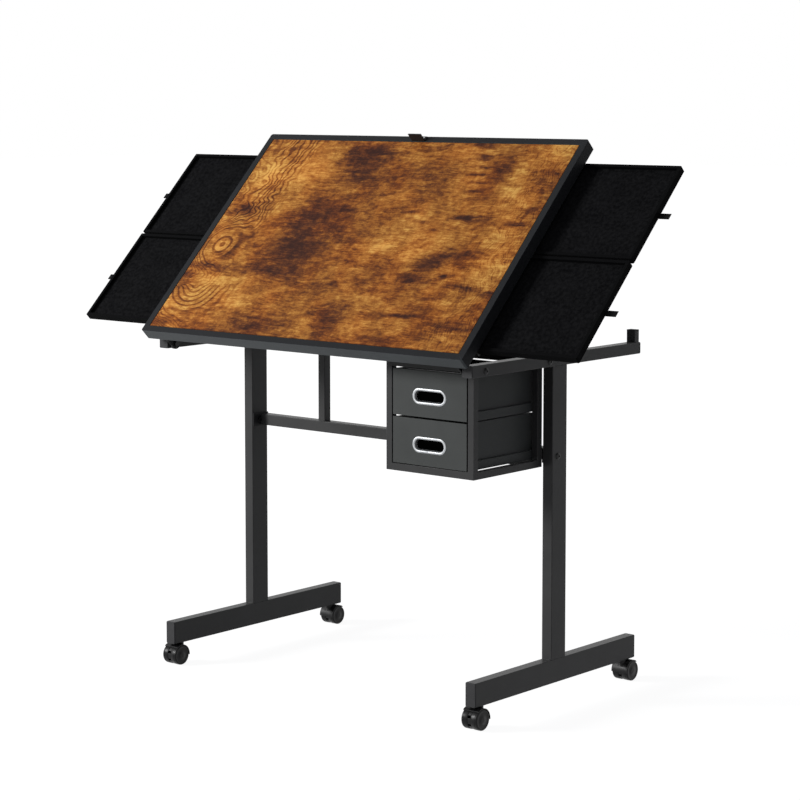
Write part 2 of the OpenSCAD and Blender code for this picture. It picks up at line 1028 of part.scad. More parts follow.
module caster_wheel(side, dir) {
    zc = wheel_r;
    half = wheel_width / 2;
    edge = 1.6;
    in = web_half + 0.5;
    color("#1b1b1c") in_place() {
        translate([side * tube_mid, dir * (caster_spread + caster_trail), 0]) {
            difference() {
                union() {
                    rod_x(-half + 1, half - 1, 0, zc, axle_r);
                    for (k = [-1, 1]) {
                        scale([k, 1, 1]) {
                            rod_x(in, half - edge, 0, zc, wheel_r);
                            translate([half - edge, 0, zc]) {
                                rotate([0, 90, 0]) {
                                    cylinder(h = edge, r1 = wheel_r, r2 = wheel_r - edge);
                                }
                            }
                        }
                    }
                }
                for (k = [-1, 1]) {
                    scale([k, 1, 1]) {
                        rod_x(half - 1.2, half + 1, 0, zc, wheel_r - 6);
                    }
                }
            }
            for (k = [-1, 1]) {
                scale([k, 1, 1]) {
                    rod_x(half - 1.3, half - 0.4, 0, zc, 6);
                }
            }
        }
    }
}

module fork_lf() {
    caster_fork(-1, -1);
}

module fork_lb() {
    caster_fork(-1, 1);
}

module fork_rf() {
    caster_fork(1, -1);
}

module fork_rb() {
    caster_fork(1, 1);
}

module wheel_lf() {
    caster_wheel(-1, -1);
}

module wheel_lb() {
    caster_wheel(-1, 1);
}

module wheel_rf() {
    caster_wheel(1, -1);
}

module wheel_rb() {
    caster_wheel(1, 1);
}

rail_left();
rail_right();
post_left();
post_right();
foot_left();
foot_right();
end_caps();
crossbar_lower();
crossbar_plates();
crossbar_upper();
strut();
stubs();
stub_pads();
hinge_cheeks();
hinge_arms();
pivot_bolts();
stand_bolts();
cage_frame();
drawer_channels();
drawer_bars_low();
drawer_bars_up();
drawer_box_low();
drawer_box_up();
drawer_front_low();
drawer_front_up();
drawer_ring_low();
drawer_ring_up();
rim_front();
rim_left();
rim_back();
rim_right();
board();
under_panel();
runner_front();
runner_back();
runner_mid();
clip();
top_screws();
tray_lf();
tray_lb();
tray_rf();
tray_rb();
felt_lf();
felt_lb();
felt_rf();
felt_rb();
tab_lf();
tab_lb();
tab_rf();
tab_rb();
caster_sockets();
fork_lf();
fork_lb();
fork_rf();
fork_rb();
wheel_lf();
wheel_lb();
wheel_rf();
wheel_rb();
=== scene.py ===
# Tilting jigsaw table with side trays and two drawers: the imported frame, dressed for the camera.
import math
import random
import bmesh
import bpy
from mathutils import Matrix, Vector, noise


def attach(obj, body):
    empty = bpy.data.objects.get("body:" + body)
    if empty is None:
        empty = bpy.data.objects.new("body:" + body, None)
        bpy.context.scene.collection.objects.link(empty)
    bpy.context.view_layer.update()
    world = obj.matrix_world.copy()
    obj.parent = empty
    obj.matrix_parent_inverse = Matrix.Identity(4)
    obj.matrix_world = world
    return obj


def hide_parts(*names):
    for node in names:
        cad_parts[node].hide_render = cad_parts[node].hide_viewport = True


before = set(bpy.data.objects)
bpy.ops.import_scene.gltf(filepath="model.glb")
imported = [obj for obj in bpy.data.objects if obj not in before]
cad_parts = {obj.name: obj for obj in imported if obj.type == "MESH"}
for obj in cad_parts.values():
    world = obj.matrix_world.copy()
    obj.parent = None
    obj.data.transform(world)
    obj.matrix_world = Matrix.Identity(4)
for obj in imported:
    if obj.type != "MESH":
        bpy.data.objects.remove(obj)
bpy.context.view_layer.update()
print("frame loaded:", len(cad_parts), "nodes")

# the middle of the posts, and the axis that the top tilts about
shift = 0.023
pivotY = -0.252
pivotZ = 0.726
tilt = math.radians(45)
tiltPlace = (
    Matrix.Translation((0, pivotY, pivotZ))
    @ Matrix.Rotation(tilt, 4, "X")
    @ Matrix.Translation((0, -pivotY, -pivotZ))
)
sideOf = {"lf": -1, "lb": -1, "rf": 1, "rb": 1}
# heights of the printed face, the felts and the tabs when the top lies flat
flatLevels = {"board": 0.7947, "felt": 0.7606, "tab": 0.7544}

# where the camera, the lamp and the floor's tones are set
studio = {
    "cameraPlace": (3.31528, -3.92162, 1.28627),
    "cameraTurn": 39.984,
    "cameraPitch": 5.199,
    "lens": 106.506,
    "shiftY": -0.12,
    "keyPlace": (-3.97, -3.97, 2.55),
    "keyAim": (0.0, 0.0, 0.6),
    "keySize": 1.7,
    "keyPower": 365.0,
    "skyStrength": 0.30,
    "floorGlow": 0.93,
    "floorTone": 0.16,
    "floorBounce": 0.32,
    "floorHalf": 30.0,
    "glowReach": (1.2, 3.0),
    "skyColour": "f4f6ff",
}

black = (0.0, 0.0, 0.0, 1.0)
white = (1.0, 1.0, 1.0, 1.0)


def newObject(name, data):
    made = bpy.data.objects.new(name, data)
    bpy.context.scene.collection.objects.link(made)
    return made


def paint(code):
    # an sRGB hex code as the linear colour that shaders work in
    parts = [int(code[i:i + 2], 16) / 255 for i in (0, 2, 4)]
    return tuple(p / 12.92 if p <= 0.04045 else ((p + 0.055) / 1.055) ** 2.4 for p in parts) + (1.0,)


def addNode(tree, kind, inputs=None, **settings):
    made = tree.nodes.new(kind)
    for name, value in settings.items():
        setattr(made, name, value)
    for name, value in (inputs or {}).items():
        if isinstance(value, bpy.types.NodeSocket):
            tree.links.new(value, made.inputs[name])
        else:
            made.inputs[name].default_value = value
    return made


def mathsNode(tree, operation, first, second=0.0, clamp=False):
    return addNode(tree, "ShaderNodeMath", {0: first, 1: second}, operation=operation, use_clamp=clamp).outputs[0]


def times(tree, first, second, clamp=False):
    return mathsNode(tree, "MULTIPLY", first, second, clamp)


def plus(tree, first, second, clamp=False):
    return mathsNode(tree, "ADD", first, second, clamp)


def gradeNode(tree, value, slope, start):
    return addNode(tree, "ShaderNodeMath", {0: value, 1: slope, 2: start}, operation="MULTIPLY_ADD").outputs[0]


def remapNode(tree, value, low, high, newLow=0.0, newHigh=1.0, way="LINEAR"):
    values = {"Value": value, "From Min": low, "From Max": high, "To Min": newLow, "To Max": newHigh}
    return addNode(tree, "ShaderNodeMapRange", values, interpolation_type=way).outputs[0]


def swingNode(tree, value, newLow, newHigh):
    # the middle of a noise's range, spread over two new values
    return remapNode(tree, value, 0.3, 0.7, newLow, newHigh)


def mixColours(tree, factor, first, second, way="MIX"):
    mix = addNode(tree, "ShaderNodeMix", {0: factor, 6: first, 7: second}, data_type="RGBA", blend_type=way)
    return mix.outputs[2]


def stretchNode(tree, vector, amounts):
    return addNode(tree, "ShaderNodeVectorMath", {0: vector, 1: amounts}, operation="MULTIPLY").outputs[0]


def noiseNode(tree, vector, scale, detail=2.0, roughness=0.5, distortion=0.0):
    values = {"Vector": vector, "Scale": scale, "Detail": detail, "Roughness": roughness, "Distortion": distortion}
    return addNode(tree, "ShaderNodeTexNoise", values).outputs[0]


def scaledColour(tree, colour, gain):
    return addNode(tree, "ShaderNodeVectorMath", {0: colour, "Scale": gain}, operation="SCALE").outputs[0]


def newGroup(name, outputs=("Color", "Roughness", "Height"), **inputs):
    # every group takes a Vector; an input given as a number is a plain value, and as a tuple a colour
    tree = bpy.data.node_groups.new(name, "ShaderNodeTree")
    tree.interface.new_socket(name="Vector", in_out="INPUT", socket_type="NodeSocketVector")
    for label, value in inputs.items():
        kind = "NodeSocketFloat" if isinstance(value, float) else "NodeSocketColor"
        tree.interface.new_socket(name=label, in_out="INPUT", socket_type=kind).default_value = value
    for label in outputs:
        kind = "NodeSocketColor" if label == "Color" else "NodeSocketFloat"
        tree.interface.new_socket(name=label, in_out="OUTPUT", socket_type=kind)
    given = tree.nodes.new("NodeGroupInput").outputs
    return tree, given, given["Vector"], tree.nodes.new("NodeGroupOutput").inputs


def joinSockets(tree, ends, **sources):
    for label, source in sources.items():
        tree.links.new(source, ends[label])


def buildEdgeWear():
    tree, given, place, result = newGroup("edgeWear", ("Mask",), Radius=0.002, Breakup=60.0)
    rounded = addNode(tree, "ShaderNodeBevel", {"Radius": given["Radius"]}, samples=4)
    surface = addNode(tree, "ShaderNodeNewGeometry")
    turn = addNode(
        tree, "ShaderNodeVectorMath", {0: rounded.outputs[0], 1: surface.outputs["Normal"]}, operation="DOT_PRODUCT"
    )
    bend = remapNode(tree, turn.outputs["Value"], 0.995, 0.86)
    patchy = noiseNode(tree, place, given["Breakup"], 3.0, 0.6)
    joinSockets(tree, result, Mask=times(tree, bend, remapNode(tree, patchy, 0.35, 0.7), True))
    return tree


def buildCoatGrain():
    # powder coat: orange peel, slow drift in tone, fine specks of tone
    tree, given, place, result = newGroup(
        "coatGrain", Base=black, Worn=white, Wear=0.0, Peel=900.0, Drift=0.12, Rough=0.45
    )
    peel = noiseNode(tree, place, given["Peel"], 2.0, 0.55)
    speck = noiseNode(tree, place, 2600.0, 1.0)
    slow = noiseNode(tree, place, 7.0, 3.0, 0.6)
    level = swingNode(tree, slow, -1.0, 1.0)
    lift = gradeNode(tree, level, given["Drift"], 1.0)
    fine = remapNode(tree, speck, 0.35, 0.65, 0.92, 1.08)
    gain = times(tree, lift, fine)
    toned = scaledColour(tree, given["Base"], gain)
    colour = mixColours(tree, given["Wear"], toned, given["Worn"])
    rough = plus(tree, given["Rough"], swingNode(tree, peel, -0.05, 0.07), True)
    joinSockets(tree, result, Color=colour, Roughness=rough, Height=peel)
    return tree


def buildFeltNap():
    # pressed felt: short fibres in two directions over a soft mottle
    tree, given, place, result = newGroup("feltNap", Dark=black, Light=white)
    along = noiseNode(tree, stretchNode(tree, place, (700, 2600, 1400)), 1.0, 3.0, 0.6, 1.2)
    across = noiseNode(tree, stretchNode(tree, place, (2600, 700, 1400)), 1.0, 3.0, 0.6, 1.2)
    mottle = noiseNode(tree, place, 120.0, 4.0, 0.7)
    cloud = noiseNode(tree, place, 22.0, 2.0)
    fibre = mathsNode(tree, "MAXIMUM", along, across)
    tone = remapNode(tree, fibre, 0.4, 0.75, 0.0, 0.35)
    tone = plus(tree, tone, remapNode(tree, mottle, 0.4, 0.6, 0.0, 0.6))
    tone = plus(tree, tone, remapNode(tree, cloud, 0.35, 0.65, 0.0, 0.2), True)
    height = plus(tree, fibre, times(tree, mottle, 0.6))
    joinSockets(
        tree, result, Color=mixColours(tree, tone, given["Dark"], given["Light"]),
        Roughness=swingNode(tree, fibre, 0.86, 1.0), Height=height,
    )
    return tree


def buildWebbing():
    # ribbed tape: ribs along its length, small picks across
    tree, given, place, result = newGroup("webbing", ("Color", "Height"), Dark=black, Light=white)
    ribs, picks = (
        addNode(
            tree, "ShaderNodeTexWave", {"Vector": place, "Scale": scale, "Distortion": distortion},
            bands_direction=way, wave_profile="SIN",
        ).outputs["Fac"]
        for way, scale, distortion in (("Y", 180.0, 0.4), ("X", 260.0, 0.6))
    )
    weave = times(tree, ribs, remapNode(tree, picks, 0.0, 1.0, 0.55, 1.0))
    fuzz = noiseNode(tree, place, 1500.0, 2.0)
    tone = times(tree, weave, swingNode(tree, fuzz, 0.6, 1.2), True)
    joinSockets(tree, result, Color=mixColours(tree, tone, given["Dark"], given["Light"]), Height=weave)
    return tree


def buildMouldSkin():
    # moulded plastic and rubber: spark-eroded skin, faint flow marks, scuffs
    tree, given, place, result = newGroup("mouldSkin", Base=black, Scuffed=white, Wear=0.0, Skin=1400.0, Rough=0.4)
    skin = noiseNode(tree, place, given["Skin"], 2.0, 0.6)
    flow = noiseNode(tree, stretchNode(tree, place, (30, 90, 60)), 1.0, 3.0, 0.6, 0.8)
    scuff = remapNode(tree, noiseNode(tree, place, 240.0, 4.0, 0.7), 0.58, 0.75)
    amount = mathsNode(tree, "MAXIMUM", given["Wear"], times(tree, scuff, 0.35), True)
    gain = swingNode(tree, flow, 0.9, 1.1)
    toned = scaledColour(tree, given["Base"], gain)
    rough = plus(tree, given["Rough"], swingNode(tree, flow, -0.06, 0.08), True)
    joinSockets(
        tree, result, Color=mixColours(tree, amount, toned, given["Scuffed"]), Roughness=rough, Height=skin
    )
    return tree


def buildDrawnMetal():
    # rolled or plated metal: fine lines along its length and a few tarnish clouds
    tree, given, place, result = newGroup("drawnMetal", Bright=white, Dull=black, Lines=1500.0, Rough=0.2)
    lines = noiseNode(tree, stretchNode(tree, place, (1.0, 0.04, 1.0)), given["Lines"], 2.0)
    cloud = noiseNode(tree, place, 45.0, 4.0, 0.65)
    colour = mixColours(tree, remapNode(tree, cloud, 0.45, 0.75), given["Bright"], given["Dull"])
    rough = plus(tree, given["Rough"], swingNode(tree, lines, -0.04, 0.08), True)
    rough = plus(tree, rough, remapNode(tree, cloud, 0.5, 0.75, 0.0, 0.12), True)
    joinSockets(tree, result, Color=colour, Roughness=rough, Height=lines)
    return tree


# places on the board, from its middle: across, back, half length, half width, strength, and turn if any
darkPlaces = (
    (-0.150, 0.0, 0.11, 0.13, 0.9), (-0.17, 0.02, 0.075, 0.11, 1.05), (-0.12, 0.07, 0.09, 0.05, 0.8, 15),
    (-0.13, 0.22, 0.08, 0.07, 0.65), (-0.10, 0.25, 0.05, 0.03, 0.9), (-0.165, 0.235, 0.03, 0.05, 0.7),
    (-0.19, -0.11, 0.10, 0.022, 0.8), (-0.12, -0.11, 0.05, 0.03, 0.85), (-0.14, -0.26, 0.10, 0.04, 0.6),
    (-0.22, -0.285, 0.08, 0.015, 0.5), (-0.39, 0.07, 0.035, 0.022, 0.7, 20), (-0.36, -0.103, 0.09, 0.013, 0.8),
    (-0.42, -0.135, 0.03, 0.014, 0.95), (0.07, 0.20, 0.05, 0.06, 0.2), (0.11, 0.08, 0.04, 0.005, 0.8),
    (0.15, 0.053, 0.03, 0.005, 0.8), (0.215, 0.24, 0.025, 0.011, 1.0), (0.22, 0.213, 0.035, 0.005, 0.9),
    (0.225, 0.19, 0.04, 0.005, 0.9), (0.22, 0.168, 0.04, 0.005, 0.9), (0.225, 0.143, 0.035, 0.005, 0.8),
    (0.19, 0.03, 0.022, 0.005, 0.8), (0.27, 0.215, 0.045, 0.085, 0.5), (0.19, 0.277, 0.06, 0.011, 0.9),
    (0.26, 0.065, 0.055, 0.013, 1.0), (0.39, 0.062, 0.045, 0.009, 0.9), (0.25, -0.05, 0.075, 0.028, 0.9, 12),
    (0.32, -0.03, 0.05, 0.015, 0.6), (0.22, -0.108, 0.07, 0.022, 0.8), (0.13, -0.07, 0.06, 0.02, 0.3),
    (0.30, -0.098, 0.014, 0.008, 1.3), (0.24, -0.20, 0.055, 0.007, 1.0), (0.05, -0.21, 0.05, 0.045, 0.75),
    (0.06, -0.265, 0.045, 0.035, 0.6), (0.19, -0.275, 0.07, 0.016, 0.4), (0.39, -0.225, 0.06, 0.022, 0.65),
    (0.42, -0.13, 0.03, 0.011, 0.8), (0.35, -0.12, 0.06, 0.012, 0.5), (0.41, 0.10, 0.035, 0.014, 0.5),
    (-0.02, -0.14, 0.05, 0.02, 0.5), (0.28, -0.16, 0.04, 0.006, 0.6), (-0.035, 0.03, 0.05, 0.22, 0.3),
)
goldPlaces = (
    (-0.27, 0.19, 0.08, 0.07, 0.8), (-0.39, 0.18, 0.06, 0.09, 0.7), (-0.36, -0.22, 0.09, 0.05, 0.8),
    (-0.32, -0.14, 0.10, 0.02, 0.8), (-0.25, -0.20, 0.07, 0.03, 0.6), (0.11, -0.01, 0.10, 0.05, 0.9),
    (0.13, 0.02, 0.08, 0.10, 0.8), (0.20, 0.0, 0.08, 0.02, 0.6), (0.37, 0.02, 0.07, 0.05, 0.7),
    (0.40, -0.07, 0.05, 0.07, 0.7), (0.25, -0.17, 0.10, 0.02, 0.5), (0.29, -0.275, 0.08, 0.015, 0.7),
    (0.17, 0.17, 0.05, 0.06, 0.6), (0.40, 0.26, 0.05, 0.03, 0.7), (0.345, 0.16, 0.05, 0.08, 0.8),
    (0.0, -0.10, 0.06, 0.03, 0.4), (0.04, 0.12, 0.05, 0.05, 0.4), (-0.38, -0.04, 0.03, 0.03, 0.6),
)
# the figure's lines: how close they run, and the two places that they go round
figurePlan = {
    "bandX": -0.31, "slant": 0.095, "wide": 0.045, "pitch": 0.0135, "loosePitch": 0.025, "stir": 1.15, "ripple": 0.7,
    "stirScale": (20, 24), "rippleScale": (46, 62), "faint": 0.55, "clear": 0.45, "fade": 0.05,
    "knot": (-0.378, -0.042), "knotReach": 0.092, "knotPitch": 0.0175, "knotGrip": 1.5,
    "bowl": (-0.375, -0.168), "bowlReach": 0.135, "bowlPitch": 0.0128, "bowlGrip": 1.8, "bowlRim": (0.03, 0.04),
}
woodStops = (
    (0.0, "2c160f"), (0.16, "462617"), (0.34, "673a1d"), (0.52, "8f5826"), (0.72, "b47b39"), (1.0, "dcab5a"),
)


def buildRusticWood():
    # one printed board: grain along its width, ragged patches, and lines of figure at its left end
    tree, given, place, result = newGroup("rusticWood", Dark=0.0, Gold=0.0, Contour=0.0, Figured=0.0)
    drift = addNode(tree, "ShaderNodeTexNoise", {"Vector": place, "Scale": 9.0, "Detail": 3.0, "Roughness": 0.6})
    moved = addNode(
        tree, "ShaderNodeVectorMath", {0: drift.outputs["Color"], 1: (0.09, 0.035, 0.0), 2: place},
        operation="MULTIPLY_ADD",
    ).outputs[0]
    across = addNode(tree, "ShaderNodeSeparateXYZ", {0: place}).outputs[0]
    bands = noiseNode(tree, stretchNode(tree, moved, (11.0, 62.0, 1)), 1.0, 4.0, 0.7)
    streaks = noiseNode(tree, stretchNode(tree, moved, (20.0, 260.0, 1)), 1.0, 3.0, 0.6)
    fibres = noiseNode(tree, stretchNode(tree, place, (75.0, 1100.0, 1)), 1.0, 3.0, 0.7)
    blotch = noiseNode(tree, stretchNode(tree, place, (60.0, 95.0, 1)), 1.0, 4.0, 0.75)
    cloud = noiseNode(tree, stretchNode(tree, moved, (13.0, 17.0, 1)), 1.0, 3.0, 0.6)
    combed = noiseNode(tree, stretchNode(tree, moved, (330.0, 26.0, 1)), 1.0, 2.0, 0.5)

    # lines of figure, broken here and there, and close upright lines toward the right edge
    wave = mathsNode(tree, "SINE", times(tree, given["Contour"], 2 * math.pi))
    broken = times(tree, given["Figured"], remapNode(tree, blotch, 0.36, 0.58, 0.2, 1.0))
    figureLine = times(tree, remapNode(tree, wave, 0.0, 0.85), broken)
    rightEnd = remapNode(tree, across, 0.26, 0.39, 0.25, 1.0, "SMOOTHSTEP")
    combLine = times(tree, remapNode(tree, combed, 0.48, 0.68), rightEnd)

    tone = gradeNode(tree, given["Gold"], 0.28, 0.55)
    for source, amount in ((bands, 0.15), (streaks, 0.11), (blotch, 0.19), (cloud, 0.19)):
        tone = plus(tree, tone, swingNode(tree, source, -amount, amount))
    ragged = remapNode(tree, plus(tree, bands, blotch), 1.35, 0.65, 0.7, 1.15)
    stain = times(tree, given["Dark"], ragged)
    tone = mathsNode(tree, "SUBTRACT", tone, times(tree, stain, 0.42))
    tone = plus(tree, tone, times(tree, given["Figured"], 0.07))
    for line, depth in ((figureLine, 0.46), (combLine, 0.24)):
        tone = mathsNode(tree, "SUBTRACT", tone, times(tree, line, depth))
    tone = plus(tree, tone, swingNode(tree, fibres, -0.13, 0.13), True)
    ramp = addNode(tree, "ShaderNodeValToRGB", {0: tone})
    stops = ramp.color_ramp.elements
    while len(stops) < len(woodStops):
        stops.new(0.5)
    for stop, (position, code) in zip(stops, woodStops):
        stop.position = position
        stop.color = paint(code)
    ruddy = remapNode(tree, drift.outputs[0], 0.42, 0.62, 0.0, 0.8)
    warm = mixColours(tree, ruddy, ramp.outputs["Color"], (1.04, 0.86, 0.76, 1.0), "MULTIPLY")
    colour = mixColours(tree, times(tree, stain, 0.25, True), warm, paint("432823"))
    rough = swingNode(tree, fibres, 0.5, 0.64)
    height = plus(tree, times(tree, fibres, 0.6), times(tree, tone, 0.4))
    joinSockets(tree, result, Color=colour, Roughness=rough, Height=height)
    return tree


groups = {
    "edgeWear": buildEdgeWear(), "coatGrain": buildCoatGrain(), "feltNap": buildFeltNap(), "webbing": buildWebbing(),
    "mouldSkin": buildMouldSkin(), "drawnMetal": buildDrawnMetal(), "rusticWood": buildRusticWood(),
}
print("shader groups:", len(groups))


# materials
def newLook(name, specular, metallic=0.0):
    look = bpy.data.materials.new(name)
    look.use_nodes = True
    tree = look.node_tree
    shader = tree.nodes["Principled BSDF"]
    shader.inputs["Specular IOR Level"].default_value = specular
    shader.inputs["Metallic"].default_value = metallic
    return look, tree, shader, addNode(tree, "ShaderNodeTexCoord").outputs["Object"]


def useGroup(tree, name, **values):
    return addNode(tree, "ShaderNodeGroup", values, node_tree=groups[name]).outputs


def onTheTop(tree, objectPlace, level):
    # coordinates in the plane of the tilted top, from the middle of the board
    middle = tiltPlace @ Vector((0, shift, flatLevels[level]))
    return addNode(
        tree, "ShaderNodeMapping", {"Vector": objectPlace, "Location": middle, "Rotation": (tilt, 0, 0)},
        vector_type="TEXTURE",
    ).outputs[0]


def wireLook(tree, shader, finish, depth, strength):
    for label, target in (("Color", "Base Color"), ("Roughness", "Roughness")):
        if label in finish:
            tree.links.new(finish[label], shader.inputs[target])
    bump = addNode(tree, "ShaderNodeBump", {"Height": finish["Height"], "Distance": depth, "Strength": strength})
    tree.links.new(bump.outputs[0], shader.inputs["Normal"])


def dressLook(name, plan, group, colours, amounts, wear=None, metallic=0.0):
    # one material of a family: the group's inputs are the plan's entries of the same name
    look, tree, shader, place = newLook(name, plan["specular"], metallic)
    shader.inputs["Roughness"].default_value = 0.7  # stands where the group puts out none
    inputs = {label: paint(plan[label.lower()]) for label in colours}
    inputs.update({label: float(plan[label.lower()]) for label in amounts})
    if wear:
        mask = useGroup(tree, "edgeWear", Vector=place, Radius=wear["radius"], Breakup=wear["breakup"])["Mask"]
        inputs["Wear"] = times(tree, mask, wear["share"])
    if "level" in plan:
        place = onTheTop(tree, place, plan["level"])
    finish = useGroup(tree, group, Vector=place, **inputs)
    wireLook(tree, shader, finish, plan["bump"], plan.get("strength", 1.0))
    looks[name] = look


looks = {}
coatWear = {"radius": 0.0016, "breakup": 90.0, "share": 0.45}
coatLooks = {
    "frameCoat": {"base": "3d3d3d", "worn": "626263", "rough": 0.36, "specular": 0.12, "peel": 900, "bump": 5e-5},
    "rimCoat": {"base": "434749", "worn": "7d8388", "rough": 0.42, "specular": 0.12, "peel": 1100, "bump": 4e-5},
    # painted shade: a near-black coat for the drawer fronts' edge faces, standing in for the shade in the gaps round
    # them
    "gapShadeCoat": {"base": "080808", "worn": "161616", "rough": 0.7, "specular": 0.02, "peel": 1200, "bump": 3e-5},
    # painted shade: the rim's top and end faces take this darker copy of the rim coat, standing in for how the light
    # falls on them
    "rimShadeCoat": {"base": "212224", "worn": "565b60", "rough": 0.5, "specular": 0.06, "peel": 1100, "bump": 4e-5},
    "bracketCoat": {"base": "1f1f20", "worn": "4a4a4b", "rough": 0.45, "specular": 0.12, "peel": 1000, "bump": 5e-5},
    "drawerCoat": {"base": "444645", "worn": "666867", "rough": 0.52, "specular": 0.12, "peel": 1200, "bump": 4e-5},
    "boxCoat": {"base": "373939", "worn": "505251", "rough": 0.42, "specular": 0.12, "peel": 1200, "bump": 3e-5},
    "panelLaminate": {"base": "2c2725", "worn": "4a423c", "rough": 0.55, "specular": 0.2, "peel": 500, "bump": 6e-5},
    "boltCoat": {"base": "161617", "worn": "555555", "rough": 0.38, "specular": 0.25, "peel": 2000, "bump": 2e-5},
}
for name, plan in coatLooks.items():
    dressLook(name, plan, "coatGrain", ("Base", "Worn"), ("Peel", "Rough"), coatWear)

mouldWear = {"radius": 0.001, "breakup": 160.0, "share": 0.5}
mouldLooks = {
    "capPlastic": {"base": "3a3a3b", "scuffed": "565657", "rough": 0.52, "specular": 0.14, "skin": 1300},
    "trayPlastic": {"base": "0b0b0c", "scuffed": "1e1e1f", "rough": 0.7, "specular": 0.015, "skin": 1100},
    "forkPlastic": {"base": "0c0c0d", "scuffed": "242425", "rough": 0.42, "specular": 0.2, "skin": 1500},
    "wheelPlastic": {"base": "0f0f10", "scuffed": "29292a", "rough": 0.32, "specular": 0.16, "skin": 1500},
    # painted shade: near black with no shine, standing in for the shade inside the pulls' recesses
    "pullShadeBlack": {"base": "030303", "scuffed": "0a0a0a", "rough": 0.8, "specular": 0.0, "skin": 1500},
    "padRubber": {"base": "141415", "scuffed": "2a2a2b", "rough": 0.75, "specular": 0.2, "skin": 900},
}
for name, plan in mouldLooks.items():
    plan["bump"] = 3e-5  # one fine skin on them all
    dressLook(name, plan, "mouldSkin", ("Base", "Scuffed"), ("Skin", "Rough"), mouldWear)

metalLooks = {
    "ringChrome": {"bright": "a4a6a8", "dull": "7e8083", "rough": 0.46, "specular": 0.5, "lines": 2500, "bump": 4e-6},
    "boltZinc": {"bright": "a9abad", "dull": "7d7f81", "rough": 0.32, "specular": 0.5, "lines": 1800, "bump": 1e-5},
    "slideSteel": {"bright": "8b8d90", "dull": "66686b", "rough": 0.3, "specular": 0.5, "lines": 1500, "bump": 1e-5},
}
for name, plan in metalLooks.items():
    dressLook(name, plan, "drawnMetal", ("Bright", "Dull"), ("Lines", "Rough"), metallic=1.0)

boardLook = {"specular": 0.06, "bump": 0.00012, "strength": 0.6}
look, tree, shader, place = newLook("boardWood", boardLook["specular"])
drawn = addNode(tree, "ShaderNodeAttribute", attribute_name="figure").outputs
marks = addNode(tree, "ShaderNodeSeparateColor", {0: drawn["Color"]}).outputs
finish = useGroup(
    tree, "rusticWood", Vector=onTheTop(tree, place, "board"), Dark=marks[0], Gold=marks[1], Contour=marks[2],
    Figured=drawn["Alpha"],
)
wireLook(tree, shader, finish, boardLook["bump"], boardLook["strength"])
looks["boardWood"] = look

feltPlan = {"dark": "040405", "light": "1a1a1b", "specular": 0.02, "bump": 0.0003, "strength": 0.8, "level": "felt"}
tabPlan = {"dark": "050505", "light": "1e1e1f", "specular": 0.05, "bump": 0.0003, "strength": 0.9, "level": "tab"}
dressLook("trayFelt", feltPlan, "feltNap", ("Dark", "Light"), ())
dressLook("tabWebbing", tabPlan, "webbing", ("Dark", "Light"), ())
print("materials:", len(looks))


def vertsIn(items):
    return [item for item in items if isinstance(item, bmesh.types.BMVert)]


def edgesIn(items):
    return [item for item in items if isinstance(item, bmesh.types.BMEdge)]


def runsAlong(edge, axis, least):
    return abs((edge.verts[0].co - edge.verts[1].co)[axis]) > least


def addBlock(bm, low, high):
    low, high = Vector(low), Vector(high)
    verts = bmesh.ops.create_cube(bm, size=1.0)["verts"]
    bmesh.ops.scale(bm, vec=high - low, verts=verts)
    bmesh.ops.translate(bm, vec=(low + high) / 2, verts=verts)


def easeEdges(bm, edges, width, steps=2):
    bmesh.ops.bevel(
        bm, geom=edges, offset=width, offset_type="OFFSET", segments=steps, profile=0.5,
        affect="EDGES", clamp_overlap=True, material=-1,
    )


def faceOutward(part):
    bmesh.ops.recalc_face_normals(part, faces=part.faces)


def newGrid(cells, hx, hy):
    # a flat grid of columns and rows, given by its half lengths
    bm = bmesh.new()
    bmesh.ops.create_grid(bm, x_segments=cells[0], y_segments=cells[1], size=1.0)
    bmesh.ops.scale(bm, vec=(hx, hy, 1), verts=bm.verts)
    return bm


def toward(direction):
    return Vector((0, 0, 1)).rotation_difference(Vector(direction)).to_matrix().to_4x4()


def pour(bm, part, place=(0, 0, 0), facing=(0, 0, 1)):
    # adds a finished part to a bigger mesh, its Z turned to face another way
    bmesh.ops.transform(part, matrix=Matrix.Translation(place) @ toward(facing), verts=part.verts)
    mesh = bpy.data.meshes.new("part")
    part.to_mesh(mesh)
    part.free()
    bm.from_mesh(mesh)
    bpy.data.meshes.remove(mesh)


def lathe(profile, steps):
    # a full spin of (radius, height) pairs round Z
    part = bmesh.new()
    verts = [part.verts.new((radius, 0, height)) for radius, height in profile]
    edges = [part.edges.new(pair) for pair in zip(verts, verts[1:])]
    bmesh.ops.spin(
        part, geom=verts + edges, cent=(0, 0, 0), axis=(0, 0, 1), angle=2 * math.pi, steps=steps, use_merge=True
    )
    bmesh.ops.remove_doubles(part, verts=part.verts, dist=0.000005)
    faceOutward(part)
    return part


def squareTube(low, high, along, corner, wall):
    part = bmesh.new()
    addBlock(part, low, high)
    ends = [face for face in part.faces if abs(face.normal[along]) > 0.5]
    bmesh.ops.delete(part, geom=ends, context="FACES_ONLY")
    half = (high[along] - low[along]) / 2
    easeEdges(part, [edge for edge in part.edges if runsAlong(edge, along, half)], corner, 3)
    faceOutward(part)
    bmesh.ops.solidify(part, geom=part.faces[:], thickness=wall)
    return part


def finishPiece(name, bm, body, look, replaced=(), sharp=34.0, weighted=True):
    mesh = bpy.data.meshes.new(name)
    bm.to_mesh(mesh)
    bm.free()
    mesh.materials.append(looks[look])
    for face in mesh.polygons:
        face.use_smooth = True
    mesh.set_sharp_from_angle(angle=math.radians(sharp))
    piece = newObject(name, mesh)
    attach(piece, body)
    if replaced:
        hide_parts(*replaced)
    if weighted:
        even = piece.modifiers.new("evenNormals", "WEIGHTED_NORMAL")
        even.keep_sharp = True
    return piece


